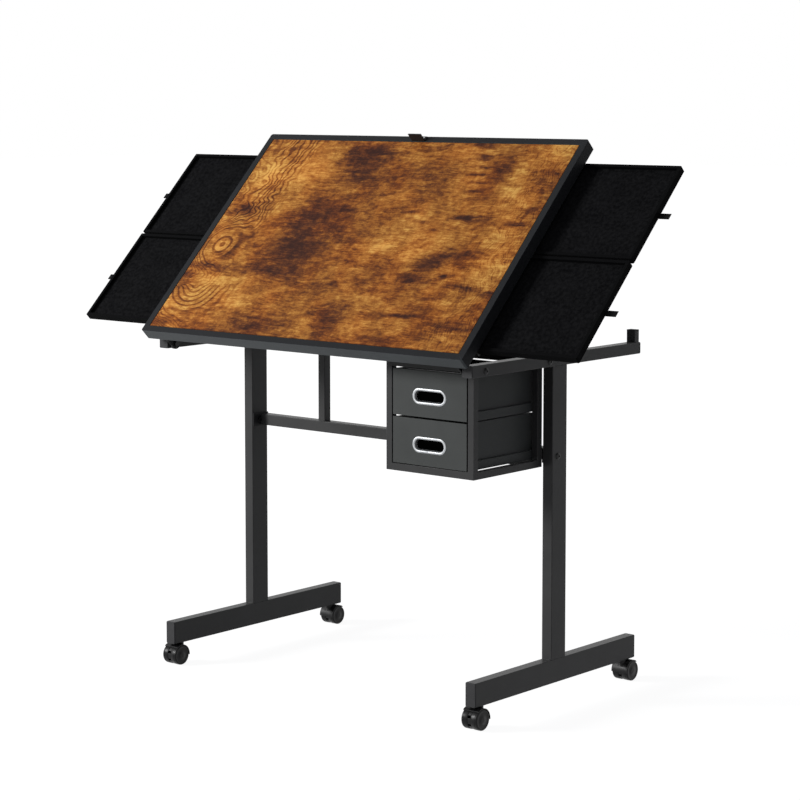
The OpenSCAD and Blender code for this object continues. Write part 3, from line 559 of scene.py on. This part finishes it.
def softEdges(node, body, look, soften, steps=2, least=0.0):
    # the CAD node's own shape with its outer edges eased
    bm = bmesh.new()
    bm.from_mesh(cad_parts[node].data)
    bmesh.ops.remove_doubles(bm, verts=bm.verts, dist=0.00001)
    bmesh.ops.dissolve_limit(bm, angle_limit=math.radians(0.8), verts=bm.verts, edges=bm.edges)
    edges = [
        edge for edge in bm.edges
        if edge.is_manifold and edge.is_convex and edge.calc_face_angle(0) > math.radians(50)
        and edge.calc_length() >= least
    ]
    if soften:
        easeEdges(bm, edges, soften, steps)
    return finishPiece(node + "_dressed", bm, body, look, (node,))


def secondLook(piece, look, wanted):
    # faces whose normal passes the test get a second material, used here for painted shade
    piece.data.materials.append(looks[look])
    for face in piece.data.polygons:
        face.material_index = 1 if wanted(face.normal) else 0


# the stand's tubes: outside and inside faces, then heights and half lengths
standPlan = {
    "outer": 0.440, "inner": 0.415, "corner": 0.0015, "wall": 0.0015,
    "railLow": 0.715, "railTop": 0.740, "railHalf": 0.2921,
    "postHalf": 0.025, "footLow": 0.048, "footTop": 0.098, "footHalf": 0.2791,
    "barLow": 0.514, "barHalf": 0.412, "barSide": 0.025, "strutX": -0.224, "strutSide": 0.020, "strutCorner": 0.0018,
    "stubBack": 0.291, "stubX": 0.022, "stubY": 0.016, "stubTop": 0.7656, "thinWall": 0.0012,
}
s = standPlan


def standTube(node, low, high, along, corner, wall):
    tube = squareTube(low, high, along, corner, wall)
    finishPiece(node + "_tube", tube, "stand", "frameCoat", (node,))


for side, word in ((-1, "left"), (1, "right")):
    x0, x1 = sorted((side * s["inner"], side * s["outer"]))
    tubes = (
        ("rail_", 1, (x0, shift - s["railHalf"], s["railLow"]), (x1, shift + s["railHalf"], s["railTop"])),
        ("post_", 2, (x0, shift - s["postHalf"], s["footTop"]), (x1, shift + s["postHalf"], s["railLow"])),
        ("foot_", 1, (x0, shift - s["footHalf"], s["footLow"]), (x1, shift + s["footHalf"], s["footTop"])),
    )
    for kind, along, low, high in tubes:
        standTube(kind + word, low, high, along, s["corner"], s["wall"])

for node, half, z in (("crossbar_lower", s["barHalf"], s["barLow"]), ("crossbar_upper", s["inner"], s["railLow"])):
    high = (half, shift + s["barSide"], z + s["barSide"])
    standTube(node, (-half, shift, z), high, 0, s["corner"], s["wall"])
low = (s["strutX"] - s["strutSide"] / 2, shift, s["barLow"] + s["barSide"])
high = (s["strutX"] + s["strutSide"] / 2, shift + s["strutSide"], s["railLow"])
standTube("strut", low, high, 2, s["strutCorner"], s["thinWall"])

bm = bmesh.new()
for side in (-1, 1):
    x = side * (s["outer"] + s["inner"]) / 2
    y = shift + s["stubBack"] - s["stubY"] / 2
    low = (x - s["stubX"] / 2, y - s["stubY"] / 2, s["railTop"])
    high = (x + s["stubX"] / 2, y + s["stubY"] / 2, s["stubTop"])
    pour(bm, squareTube(low, high, 2, s["corner"], s["thinWall"]))
finishPiece("stub_tubes", bm, "stand", "frameCoat", ("stubs",))
softEdges("stub_pads", "stand", "padRubber", 0.0006)
softEdges("crossbar_plates", "stand", "bracketCoat", 0.0005)

# end caps, their outer face a little crowned, each with a plug that is seen in the seam behind it
capPlan = {
    "railReach": 0.295, "footReach": 0.282, "thick": 0.002, "half": 0.0125, "corner": 0.0024, "crown": 0.0011,
    "plugEnd": 0.009, "plugHalf": 0.0108, "plugInset": 0.0017,
}
c = capPlan
bm = bmesh.new()
for side in (-1, 1):
    x = side * (s["outer"] + s["inner"]) / 2
    for way in (-1, 1):
        for reach, low, high in (
            (c["railReach"], s["railLow"], s["railTop"]), (c["footReach"], s["footLow"], s["footTop"])
        ):
            outside, seam, inside = (shift + way * (reach - depth) for depth in (0, c["thick"], c["plugEnd"]))
            part = bmesh.new()
            y0, y1 = sorted((outside, seam))
            addBlock(part, (x - c["half"], y0, low), (x + c["half"], y1, high))
            easeEdges(part, [edge for edge in part.edges if runsAlong(edge, 1, c["thick"] / 2)], c["corner"], 3)
            rim = [edge for edge in part.edges if all(abs(vert.co.y - outside) < 0.0001 for vert in edge.verts)]
            easeEdges(part, rim, c["crown"])
            pour(bm, part)
            y0, y1 = sorted((seam, inside))
            addBlock(
                bm, (x - c["plugHalf"], y0, low + c["plugInset"]), (x + c["plugHalf"], y1, high - c["plugInset"])
            )
finishPiece("end_caps_crowned", bm, "stand", "capPlastic", ("end_caps",))


# weld beads where the tubes meet
weldPlan = {"bead": 0.0022, "inset": 0.003, "post": 0.0016, "bar": 0.0014, "strut": 0.0012, "strutReach": 0.008}


def weldBead(start, end, radius, seed):
    rng = random.Random(seed)
    part = bmesh.new()
    start, end = Vector(start), Vector(end)
    along = (end - start).normalized()
    count = max(4, int((end - start).length / weldPlan["bead"]))
    ring = bmesh.ops.create_circle(part, cap_ends=True, segments=7, radius=radius * 0.6)["verts"]
    bmesh.ops.transform(part, matrix=Matrix.Translation(start) @ toward(along), verts=ring)
    face = part.faces[:][0]
    for step in range(1, count + 1):
        grown = bmesh.ops.extrude_face_region(part, geom=[face])["geom"]
        verts = vertsIn(grown)
        face = next(item for item in grown if isinstance(item, bmesh.types.BMFace))
        target = start.lerp(end, step / count)
        here = sum((vert.co for vert in verts), Vector()) / len(verts)
        size = radius * (0.6 if step == count else 1.0 if step % 2 else 0.82) * rng.uniform(0.93, 1.07)
        now = (verts[0].co - here).length
        for vert in verts:
            vert.co = target + (vert.co - here) * size / now
    faceOutward(part)
    return part


w = weldPlan
bm = bmesh.new()
for side in (-1, 1):
    x0, x1 = sorted((side * s["inner"], side * s["outer"]))
    for way in (-1, 1):
        y = shift + way * s["postHalf"]
        for z in (s["footTop"], s["railLow"]):
            seed = int(x0 * 1000 + z * 100 + way)
            pour(bm, weldBead((x0 + w["inset"], y, z), (x1 - w["inset"], y, z), w["post"], seed))
    x = side * s["inner"]
    for y in (shift, shift + s["barSide"]):
        low, high = (x, y, s["railLow"] + w["inset"]), (x, y, s["railTop"] - w["inset"])
        pour(bm, weldBead(low, high, w["bar"], int(y * 900 + side)))
for z in (s["barLow"] + s["barSide"], s["railLow"]):
    for y in (shift, shift + s["strutSide"]):
        ends = [(s["strutX"] + way * w["strutReach"], y, z) for way in (-1, 1)]
        pour(bm, weldBead(*ends, w["strut"], int(z * 777 + y * 1000)))
finishPiece("stand_welds", bm, "stand", "frameCoat", weighted=False, sharp=60)
print("stand tubes, caps and welds")

# bolts: button heads with a hexagon socket
boltPlan = {
    "headRadius": 0.0068, "headHeight": 0.0040, "socket": 0.0024, "socketDepth": 0.0024, "steps": 28,
    "barBolt": (shift - 0.006, 0.5265), "cageBolts": (shift - 0.2495, shift - 0.0355), "washerSink": 0.0002,
    "nutX": 0.410, "nutRadius": 0.005, "nutDepth": 0.004, "nutEase": 0.0004,
}


def buttonHead(radius, height, socket, depth, steps):
    # the head stands on z = 0
    profile = [
        (radius, 0.0), (radius, height * 0.18), (radius * 0.94, height * 0.45), (radius * 0.8, height * 0.72),
        (radius * 0.62, height * 0.9), (socket * 1.35, height),
    ]
    part = lathe(profile, steps)
    rim = [edge for edge in part.edges if all(vert.co.z > height * 0.98 for vert in edge.verts)]
    hexagon = bmesh.ops.create_circle(part, cap_ends=False, segments=6, radius=socket)["verts"]
    bmesh.ops.translate(part, vec=(0, 0, height), verts=hexagon)
    inner = list({edge for vert in hexagon for edge in vert.link_edges})
    bmesh.ops.bridge_loops(part, edges=rim + inner)
    walls = bmesh.ops.extrude_edge_only(part, edges=inner)["geom"]
    bmesh.ops.translate(part, vec=(0, 0, -depth), verts=vertsIn(walls))
    bmesh.ops.edgenet_fill(part, edges=edgesIn(walls))
    under = [edge for edge in part.edges if all(vert.co.z < height * 0.02 for vert in edge.verts)]
    bmesh.ops.edgenet_fill(part, edges=under)
    faceOutward(part)
    return part


b = boltPlan
bm = bmesh.new()
for side, y, z in [(side, *b["barBolt"]) for side in (-1, 1)] + [(1, y, pivotZ) for y in b["cageBolts"]]:
    head = buttonHead(b["headRadius"], b["headHeight"], b["socket"], b["socketDepth"], b["steps"])
    pour(bm, head, (side * s["outer"], y, z), (side, 0, 0))
    washer = lathe([(0.0034, 0.0), (0.0074, 0.0), (0.0076, 0.0004), (0.0074, 0.0008), (0.0034, 0.0008)], b["steps"])
    pour(bm, washer, (side * (s["outer"] - b["washerSink"]), y, z), (side, 0, 0))
for side in (-1, 1):
    nut = bmesh.new()
    r = b["nutRadius"]
    bmesh.ops.create_cone(nut, cap_ends=True, segments=6, radius1=r, radius2=r, depth=b["nutDepth"])
    easeEdges(nut, nut.edges[:], b["nutEase"])
    pour(bm, nut, (side * b["nutX"], *b["barBolt"]), (side, 0, 0))
finishPiece("stand_bolt_heads", bm, "stand", "boltCoat", ("stand_bolts",), sharp=30)

# the tilt hinges under the front edge
for node, body, slotName, look in (
    ("hinge_cheeks", "stand", "bracket", "bracketCoat"), ("hinge_arms", "top", "bracket", "bracketCoat"),
    ("pivot_bolts", "stand", "bolt", "boltCoat"),
):
    softEdges(node, body, look, 0.0005)
print("bolts and hinges")

# the top: rims, printed board, panel and runners
boardUp = (tiltPlace.to_3x3() @ Vector((0, 0, 1))).normalized()
for node in ("rim_front", "rim_left", "rim_back", "rim_right"):
    rim = softEdges(node, "top", "rimCoat", 0.0010, 3, least=0.05)
    # painted shade: faces along the board's normal and the end faces get the darker copy of the rim coat
    secondLook(rim, "rimShadeCoat", lambda normal: normal.dot(boardUp) > 0.9 or abs(normal.x) > 0.9)


boardPlan = {
    "halfWidth": 0.4334, "halfDepth": 0.2834, "thick": 0.0117, "soften": 0.0005, "cells": (260, 170),
    "seed": 3, "spotEdge": 1.35, "spotFade": 1.2, "broadDark": 0.3, "broadGold": 0.35,
    "swayScale": 9, "fineScale": (26, 40), "broadScale": (5, 9), "sway": (0.026, 0.010), "figureSway": 0.006,
}


def spotField(x, y, places):
    # the strongest of the soft ragged spots at a point of the board
    best = 0.0
    for across, back, long, wide, strength, *turn in places:
        angle = math.radians(sum(turn))
        u = ((x - across) * math.cos(angle) + (y - back) * math.sin(angle)) / long
        v = ((y - back) * math.cos(angle) - (x - across) * math.sin(angle)) / wide
        reach = math.hypot(u, v)
        if reach < boardPlan["spotEdge"]:
            k = min(1.0, (boardPlan["spotEdge"] - reach) / boardPlan["spotFade"])
            best = max(best, strength * k * k * (3 - 2 * k))
    return best


def easeTo(value):
    value = min(1.0, max(0.0, value))
    return value * value * (3 - 2 * value)


def noiseAt(x, y, scale, layer):
    return noise.noise(Vector((x * scale[0], y * scale[1], layer)))


def figureAt(x, y):
    # how many lines have been crossed on the way to a point, and how strongly they show there
    f = figurePlan
    knot = math.hypot(x - f["knot"][0], y - f["knot"][1])
    bowl = math.hypot((x - f["bowl"][0]) * 0.9, y - f["bowl"][1])
    along = x - f["slant"] * (y - 0.3) - f["bandX"]
    past = min(0.0, along + f["wide"])  # beyond the close lines they run looser
    lines = (along - past) / f["pitch"] + past / f["loosePitch"]
    loose = easeTo((-f["wide"] * 0.4 - along) / f["wide"])
    lines += f["stir"] * noiseAt(x, y, f["stirScale"], 3.0) * (1 + 1.6 * loose)
    lines += f["ripple"] * noiseAt(x, y, f["rippleScale"], 8.0)
    nearKnot = easeTo((f["knotReach"] - knot) / f["knotReach"] * f["knotGrip"])
    nearBowl = easeTo((f["bowlReach"] - bowl) / f["bowlReach"] * f["bowlGrip"])
    nearBowl *= easeTo((f["bowl"][1] + f["bowlRim"][0] - y) / f["bowlRim"][1])
    lines += (knot / f["knotPitch"] - lines) * nearKnot
    lines += (bowl / f["bowlPitch"] - lines) * nearBowl
    clear = f["faint"] + f["clear"] * easeTo((along + 0.09) / 0.05)
    shows = easeTo((f["wide"] + 0.01 - along) / f["fade"]) * clear
    shows = max(shows * (1.0 if y > -0.1 else 0.45), nearKnot, nearBowl * 0.9)
    return lines, shows


def printedBoard():
    p = boardPlan
    bm = newGrid(p["cells"], p["halfWidth"], p["halfDepth"])
    walls = bmesh.ops.extrude_edge_only(bm, edges=[edge for edge in bm.edges if edge.is_boundary])["geom"]
    bmesh.ops.translate(bm, vec=(0, 0, -p["thick"]), verts=vertsIn(walls))
    bmesh.ops.edgenet_fill(bm, edges=[edge for edge in edgesIn(walls) if edge.is_boundary])
    faceOutward(bm)
    upper = [
        edge for edge in bm.edges
        if len(edge.link_faces) == 2 and edge.calc_face_angle(0) > 1.0
        and all(vert.co.z > -0.001 for vert in edge.verts)
    ]
    easeEdges(bm, upper, p["soften"])
    # without a seed the vector noise differs from run to run
    noise.seed_set(p["seed"])
    marks = []
    for vert in bm.verts:
        x, y = vert.co.x, vert.co.y
        sway = noise.noise_vector(Vector((x * p["swayScale"], y * p["swayScale"], 1.0)))
        sway += noise.noise_vector(Vector((x * p["fineScale"][0], y * p["fineScale"][1], 5.0))) * 0.5
        wx, wy = x + sway.x * p["sway"][0], y + sway.y * p["sway"][1]
        broad = noiseAt(wx, wy, p["broadScale"], 7.0)
        dark = spotField(wx, wy, darkPlaces) + max(0.0, -broad) * p["broadDark"]
        gold = spotField(wx, wy, goldPlaces) + broad * p["broadGold"]
        marks.append((dark, gold) + figureAt(x + sway.x * p["figureSway"], y + sway.y * p["figureSway"]))
    bmesh.ops.translate(bm, vec=(0, shift, flatLevels["board"]), verts=bm.verts)
    bmesh.ops.transform(bm, matrix=tiltPlace, verts=bm.verts)
    piece = finishPiece("board_printed", bm, "top", "boardWood", ("board",), 30)
    figure = piece.data.attributes.new("figure", "FLOAT_COLOR", "POINT")
    figure.data.foreach_set("color", [value for mark in marks for value in mark])


printedBoard()
for node, slotName, look, soften in (
    ("under_panel", "panel", "panelLaminate", 0.0005), ("runner_front", "bracket", "bracketCoat", 0.0004),
    ("runner_back", "bracket", "bracketCoat", 0.0004), ("runner_mid", "bracket", "bracketCoat", 0.0004),
    ("clip", "bracket", "bracketCoat", 0.0007), ("top_screws", "bolt", "boltZinc", 0.0004),
):
    softEdges(node, "top", look, soften)
print("top")

# trays, lengths along the top measured from its front edge
trayPlan = {
    "inner": 0.397, "outer": 0.687, "border": 0.007, "floor": 0.7586, "felt": 0.002,
    "spans": {"f": (0.050, 0.301), "b": (0.306, 0.557)}, "front": shift - 0.3,
    "tabLength": 0.0268, "tabHalf": 0.007, "tabLow": 0.7532, "tapeThick": 0.0005, "fold": (0.0005, 0.0019),
    "bend": 0.002, "bulge": 0.0013, "feltDrop": 0.0002, "feltHem": 0.006,
    "feltGap": 0.0002, "feltCorner": 0.003, "feltCells": (64, 56), "feltWave": 0.00028, "feltCurl": 0.00035,
}
t = trayPlan


def feltSheet(key):
    side = sideOf[key]
    start, end = t["spans"][key[1]]
    x0, x1 = t["inner"] + t["border"], t["outer"] - t["border"]
    y0, y1 = t["front"] + start + t["border"], t["front"] + end - t["border"]
    hx, hy = (x1 - x0) / 2 - t["feltGap"], (y1 - y0) / 2 - t["feltGap"]
    corner = t["feltCorner"]
    bm = newGrid(t["feltCells"], hx, hy)
    for vert in bm.verts:
        x, y = vert.co.x, vert.co.y
        dx, dy = abs(x) - (hx - corner), abs(y) - (hy - corner)
        if dx > 0 and dy > 0 and math.hypot(dx, dy) > corner:
            k = corner / math.hypot(dx, dy)
            vert.co.x = math.copysign(hx - corner + dx * k, x)
            vert.co.y = math.copysign(hy - corner + dy * k, y)
        lift = noise.noise(Vector((x * 14 + side * 3, y * 14 + start * 9, 0.3))) * t["feltWave"]
        edge = min(hx - abs(x), hy - abs(y))
        curl = max(0.0, 1 - edge / t["feltHem"]) ** 2 * t["feltCurl"] * (1 + noiseAt(x, y, (60, 60), 2.0))
        vert.co.z = t["floor"] + t["felt"] - t["feltDrop"] + lift + curl
    bmesh.ops.solidify(bm, geom=bm.faces[:], thickness=t["felt"] - 0.0005)
    bmesh.ops.translate(bm, vec=(side * (x0 + x1) / 2, (y0 + y1) / 2, 0), verts=bm.verts)
    bmesh.ops.transform(bm, matrix=tiltPlace, verts=bm.verts)
    sheet = finishPiece("felt_" + key + "_sheet", bm, "tray_" + key, "trayFelt", ("felt_" + key,), 60, False)
    return sheet, (2 * hx, 2 * hy)


def webbingTab(key):
    # a folded loop of tape: down under the tray, round the end and back
    side = sideOf[key]
    start, end = t["spans"][key[1]]
    middle = t["front"] + (start + end) / 2
    x0, x1 = t["outer"] - 0.0005, t["outer"] + t["tabLength"]
    low, high = (t["tabLow"] + rise for rise in t["fold"])
    bend = x1 - t["bend"]
    bm = bmesh.new()
    line = [(x0, low), ((x0 + x1) / 2, low), (bend, low)]
    for step in range(1, 8):
        angle = math.pi * step / 8
        depth = (low + high) / 2 - (high - low) / 2 * math.cos(angle)
        line.append((bend + t["bulge"] * math.sin(angle), depth))
    line += [(bend, high), (x1 - 0.010, high - 0.0001), (x0 + 0.006, high), (x0, high)]
    verts = [bm.verts.new((side * x, middle - t["tabHalf"], z)) for x, z in line]
    edges = [bm.edges.new(pair) for pair in zip(verts, verts[1:])]
    for step in range(6):
        grown = bmesh.ops.extrude_edge_only(bm, edges=edges)["geom"]
        edges = edgesIn(grown)
        bmesh.ops.translate(bm, vec=(0, t["tabHalf"] / 3, 0), verts=vertsIn(grown))
    faceOutward(bm)
    bmesh.ops.solidify(bm, geom=bm.faces[:], thickness=t["tapeThick"])
    faceOutward(bm)
    bmesh.ops.transform(bm, matrix=tiltPlace, verts=bm.verts)
    finishPiece("tab_" + key + "_loop", bm, "tray_" + key, "tabWebbing", ("tab_" + key,), 50, False)


for key in sideOf:
    tray = softEdges("tray_" + key, "tray_" + key, "trayPlastic", 0.0007, least=0.0005)
    sheet, flat = feltSheet(key)
    webbingTab(key)
print("trays, felt and tabs")

# the drawer cage and its two drawers
softEdges("cage_frame", "stand", "frameCoat", 0.0008, least=0.004)
softEdges("drawer_channels", "stand", "boxCoat", 0.0)
drawerPlan = {
    "left": 0.204, "right": 0.397, "frontY": shift - 0.257, "low": (0.521, 0.6205), "high": 0.0955,
    "ringWide": 0.088, "ringHigh": 0.034, "ringWall": 0.006, "proud": 0.0019, "pullRise": 0.446,
    "cup": 0.0066, "cupThick": 0.0007, "cupGap": 0.001,
}
d = drawerPlan


def stadiumRing(wide, high, profile):
    # a closed ring that follows a stadium in XZ; the profile is (outward, toward the back) from its centre line
    straight = (wide - high) / 2
    part = bmesh.new()
    verts = [part.verts.new((straight + high / 2 + out, deep, 0)) for out, deep in profile]
    edges = [part.edges.new((verts[i], verts[(i + 1) % len(verts)])) for i in range(len(verts))]
    for vert in verts:
        vert.co.x, vert.co.z = straight, -(vert.co.x - straight)
    first = edges
    swept = bmesh.ops.spin(
        part, geom=verts + edges, cent=(straight, 0, 0), axis=(0, -1, 0), angle=math.pi, steps=18, use_merge=False
    )["geom_last"]
    grown = bmesh.ops.extrude_edge_only(part, edges=edgesIn(swept))["geom"]
    moved = vertsIn(grown)
    edges = [edge for edge in edgesIn(grown) if all(vert in moved for vert in edge.verts)]
    bmesh.ops.translate(part, vec=(-2 * straight, 0, 0), verts=moved)
    swept = bmesh.ops.spin(
        part, geom=moved + edges, cent=(-straight, 0, 0), axis=(0, -1, 0), angle=math.pi, steps=18, use_merge=False
    )["geom_last"]
    bmesh.ops.bridge_loops(part, edges=first + edgesIn(swept))
    bmesh.ops.remove_doubles(part, verts=part.verts, dist=0.00001)
    faceOutward(part)
    return part


def drawerPull(word, body, z):
    x = (d["left"] + d["right"]) / 2
    wall, proud = d["ringWall"], d["proud"]
    profile = []
    for step in range(9):
        angle = math.pi * step / 8
        profile.append((-wall / 2 * (1 - math.cos(angle)), -proud * math.sin(angle)))
    profile += [
        (-wall - 0.0003, 0.0010), (-wall - 0.0007, 0.0034), (-wall - 0.0012, 0.0064), (-wall - 0.0001, 0.0064),
        (-wall - 0.0001, 0.0010), (-0.0018, 0.0002),
    ]
    ring = bmesh.new()
    pour(ring, stadiumRing(d["ringWide"], d["ringHigh"], profile), (x, d["frontY"], z))
    node = "drawer_ring_" + word
    finishPiece(node + "_bezel", ring, body, "ringChrome", (node,), 40, False)
    # painted shade: a black sheet at the floor of the ring's recess stands in for the shade there
    cup = bmesh.new()
    half, high = (d["ringWide"] - d["ringHigh"]) / 2, d["ringHigh"] - 2 * wall
    bmesh.ops.create_circle(cup, cap_ends=True, segments=40, radius=high / 2 - d["cupGap"])
    for vert in cup.verts:
        vert.co.x += math.copysign(half, vert.co.x)
    grown = bmesh.ops.extrude_face_region(cup, geom=cup.faces[:])["geom"]
    bmesh.ops.translate(cup, vec=(0, 0, d["cupThick"]), verts=vertsIn(grown))
    faceOutward(cup)
    inside = Matrix.Translation((x, d["frontY"] + d["cup"], z)) @ toward((0, -1, 0))
    bmesh.ops.transform(cup, matrix=inside, verts=cup.verts)
    finishPiece("drawer_cup_" + word, cup, body, "pullShadeBlack", (), 40, False)


for word, low in zip(("low", "up"), d["low"]):
    body = "drawer_" + word
    softEdges("drawer_box_" + word, body, "boxCoat", 0.0008)
    softEdges("drawer_bars_" + word, body, "slideSteel", 0.0)
    front = softEdges("drawer_front_" + word, body, "drawerCoat", 0.0008, least=0.004)
    # painted shade: the front's edge faces, seen in the gaps, take the near-black coat
    secondLook(front, "gapShadeCoat", lambda normal: abs(normal.y) < 0.2)
    drawerPull(word, body, low + d["pullRise"] * d["high"])
print("cage and drawers")

# casters: a hood on a stem, and two tyres joined by a hub
casterPlan = {
    "x": 0.4275, "spread": 0.252, "trail": 0.013, "radius": 0.0217, "half": 0.020, "inner": 0.0041, "axle": 0.003,
    "cover": 0.0036, "coverInner": 0.013, "coverSink": 0.0007,
    "coverArcs": ((-20, 14), (30, 150), (166, 200), (216, 324)),
}
c = casterPlan
softEdges("caster_sockets", "stand", "capPlastic", 0.0004)
for key, side in sideOf.items():
    way = -1 if key[1] == "f" else 1
    softEdges("fork_" + key, "swivel_" + key, "forkPlastic", 0.0005, least=0.0006)
    r, h, i = c["radius"], c["half"], c["inner"]
    disc = [
        (0.0, i), (c["axle"], i), (r - 0.0012, i), (r - 0.0003, i + 0.0004), (r, i + 0.0012),
        (r, h - 0.0062), (r - 0.0005, h - 0.0058), (r - 0.0005, h - 0.0052), (r, h - 0.0048),
        (r, h - 0.0022), (r - 0.0004, h - 0.0010), (r - 0.0014, h - 0.0002), (r - 0.0024, h),
        (r - 0.0034, h), (r - 0.0038, h - 0.0004), (r - 0.0046, h - 0.0006),
        (0.0076, h - 0.0006), (0.0072, h - 0.0003), (0.0040, h - 0.0002), (0.0, h - 0.0002),
    ]
    bm = bmesh.new()
    centre = (side * c["x"], shift + way * (c["spread"] + c["trail"]), r)
    for face in (-1, 1):
        pour(bm, lathe(disc, 48), centre, (face, 0, 0))
    # the cover between the tyres is left open in four small slots
    cover = bmesh.new()
    for start, end in c["coverArcs"]:
        inner, outer, wide = c["coverInner"], r - c["coverSink"], c["cover"]
        corners = ((inner, -wide), (outer, -wide), (outer, wide), (inner, wide))
        part = bmesh.new()
        verts = [part.verts.new((across, -out, 0)) for out, across in corners]
        face = part.faces.new(verts)
        bmesh.ops.transform(part, matrix=Matrix.Rotation(-math.radians(start), 4, "X"), verts=part.verts)
        bmesh.ops.spin(
            part, geom=verts + face.edges[:] + [face], cent=(0, 0, 0), axis=(-1, 0, 0),
            angle=math.radians(end - start), steps=max(2, round((end - start) / 7)), use_merge=False,
        )
        faceOutward(part)
        pour(cover, part, centre)
    finishPiece("fork_" + key + "_cover", cover, "swivel_" + key, "forkPlastic", (), 40, False)
    pour(bm, lathe([(0, -i), (c["axle"], -i), (c["axle"], i), (0, i)], 20), centre, (1, 0, 0))
    finishPiece("wheel_" + key + "_twin", bm, "roller_" + key, "wheelPlastic", ("wheel_" + key,), 40, False)
print("casters")


# camera, light and floor
camera = newObject("camera", bpy.data.cameras.new("camera"))
camera.location = studio["cameraPlace"]
camera.rotation_euler = (math.radians(90 - studio["cameraPitch"]), 0, math.radians(studio["cameraTurn"]))
camera.data.lens = studio["lens"]
camera.data.sensor_width = 36.0
camera.data.shift_y = studio["shiftY"]
bpy.context.scene.camera = camera

key = newObject("keyLight", bpy.data.lights.new("keyLight", "AREA"))
key.location = studio["keyPlace"]
key.rotation_euler = (Vector(studio["keyPlace"]) - Vector(studio["keyAim"])).to_track_quat("Z", "Y").to_euler()
key.data.shape = "DISK"
key.data.size = studio["keySize"]
key.data.energy = studio["keyPower"]


def seenStraight(tree):
    # 1 where the camera, a metal or a glass looks, 0 for light on its way to the table
    path = addNode(tree, "ShaderNodeLightPath").outputs
    seen = mathsNode(tree, "MAXIMUM", path["Is Camera Ray"], path["Is Glossy Ray"])
    return mathsNode(tree, "MAXIMUM", seen, path["Is Transmission Ray"])


world = bpy.data.worlds.new("studioWorld")
bpy.context.scene.world = world
world.use_nodes = True
tree = world.node_tree
tree.nodes.clear()
sky = addNode(tree, "ShaderNodeBackground", {"Color": paint(studio["skyColour"]), "Strength": studio["skyStrength"]})
backdrop = addNode(tree, "ShaderNodeBackground", {"Color": white, "Strength": 1.0})
mix = addNode(tree, "ShaderNodeMixShader", {0: seenStraight(tree), 1: sky.outputs[0], 2: backdrop.outputs[0]})
addNode(tree, "ShaderNodeOutputWorld", {0: mix.outputs[0]})

bm = bmesh.new()
bmesh.ops.create_grid(bm, x_segments=8, y_segments=8, size=studio["floorHalf"])
mesh = bpy.data.meshes.new("floor")
bm.to_mesh(mesh)
bm.free()
newObject("floor", mesh)
look = bpy.data.materials.new("floorPaper")
look.use_nodes = True
tree = look.node_tree
tree.nodes.clear()
place = addNode(tree, "ShaderNodeTexCoord").outputs["Object"]
away = addNode(tree, "ShaderNodeVectorMath", {0: place}, operation="LENGTH").outputs["Value"]
glow = remapNode(tree, away, *studio["glowReach"], studio["floorGlow"], 1.0, "SMOOTHSTEP")
shown = addNode(tree, "ShaderNodeAddShader", {
    0: addNode(tree, "ShaderNodeEmission", {"Color": white, "Strength": glow}).outputs[0],
    1: addNode(tree, "ShaderNodeBsdfDiffuse", {"Color": (studio["floorTone"],) * 3 + (1,)}).outputs[0],
})
bounce = addNode(tree, "ShaderNodeBsdfDiffuse", {"Color": (studio["floorBounce"],) * 3 + (1,)})
mix = addNode(tree, "ShaderNodeMixShader", {0: seenStraight(tree), 1: bounce.outputs[0], 2: shown.outputs[0]})
addNode(tree, "ShaderNodeOutputMaterial", {0: mix.outputs[0]})
mesh.materials.append(look)
bpy.context.scene.view_settings.view_transform = "Standard"
print("camera, light and floor")
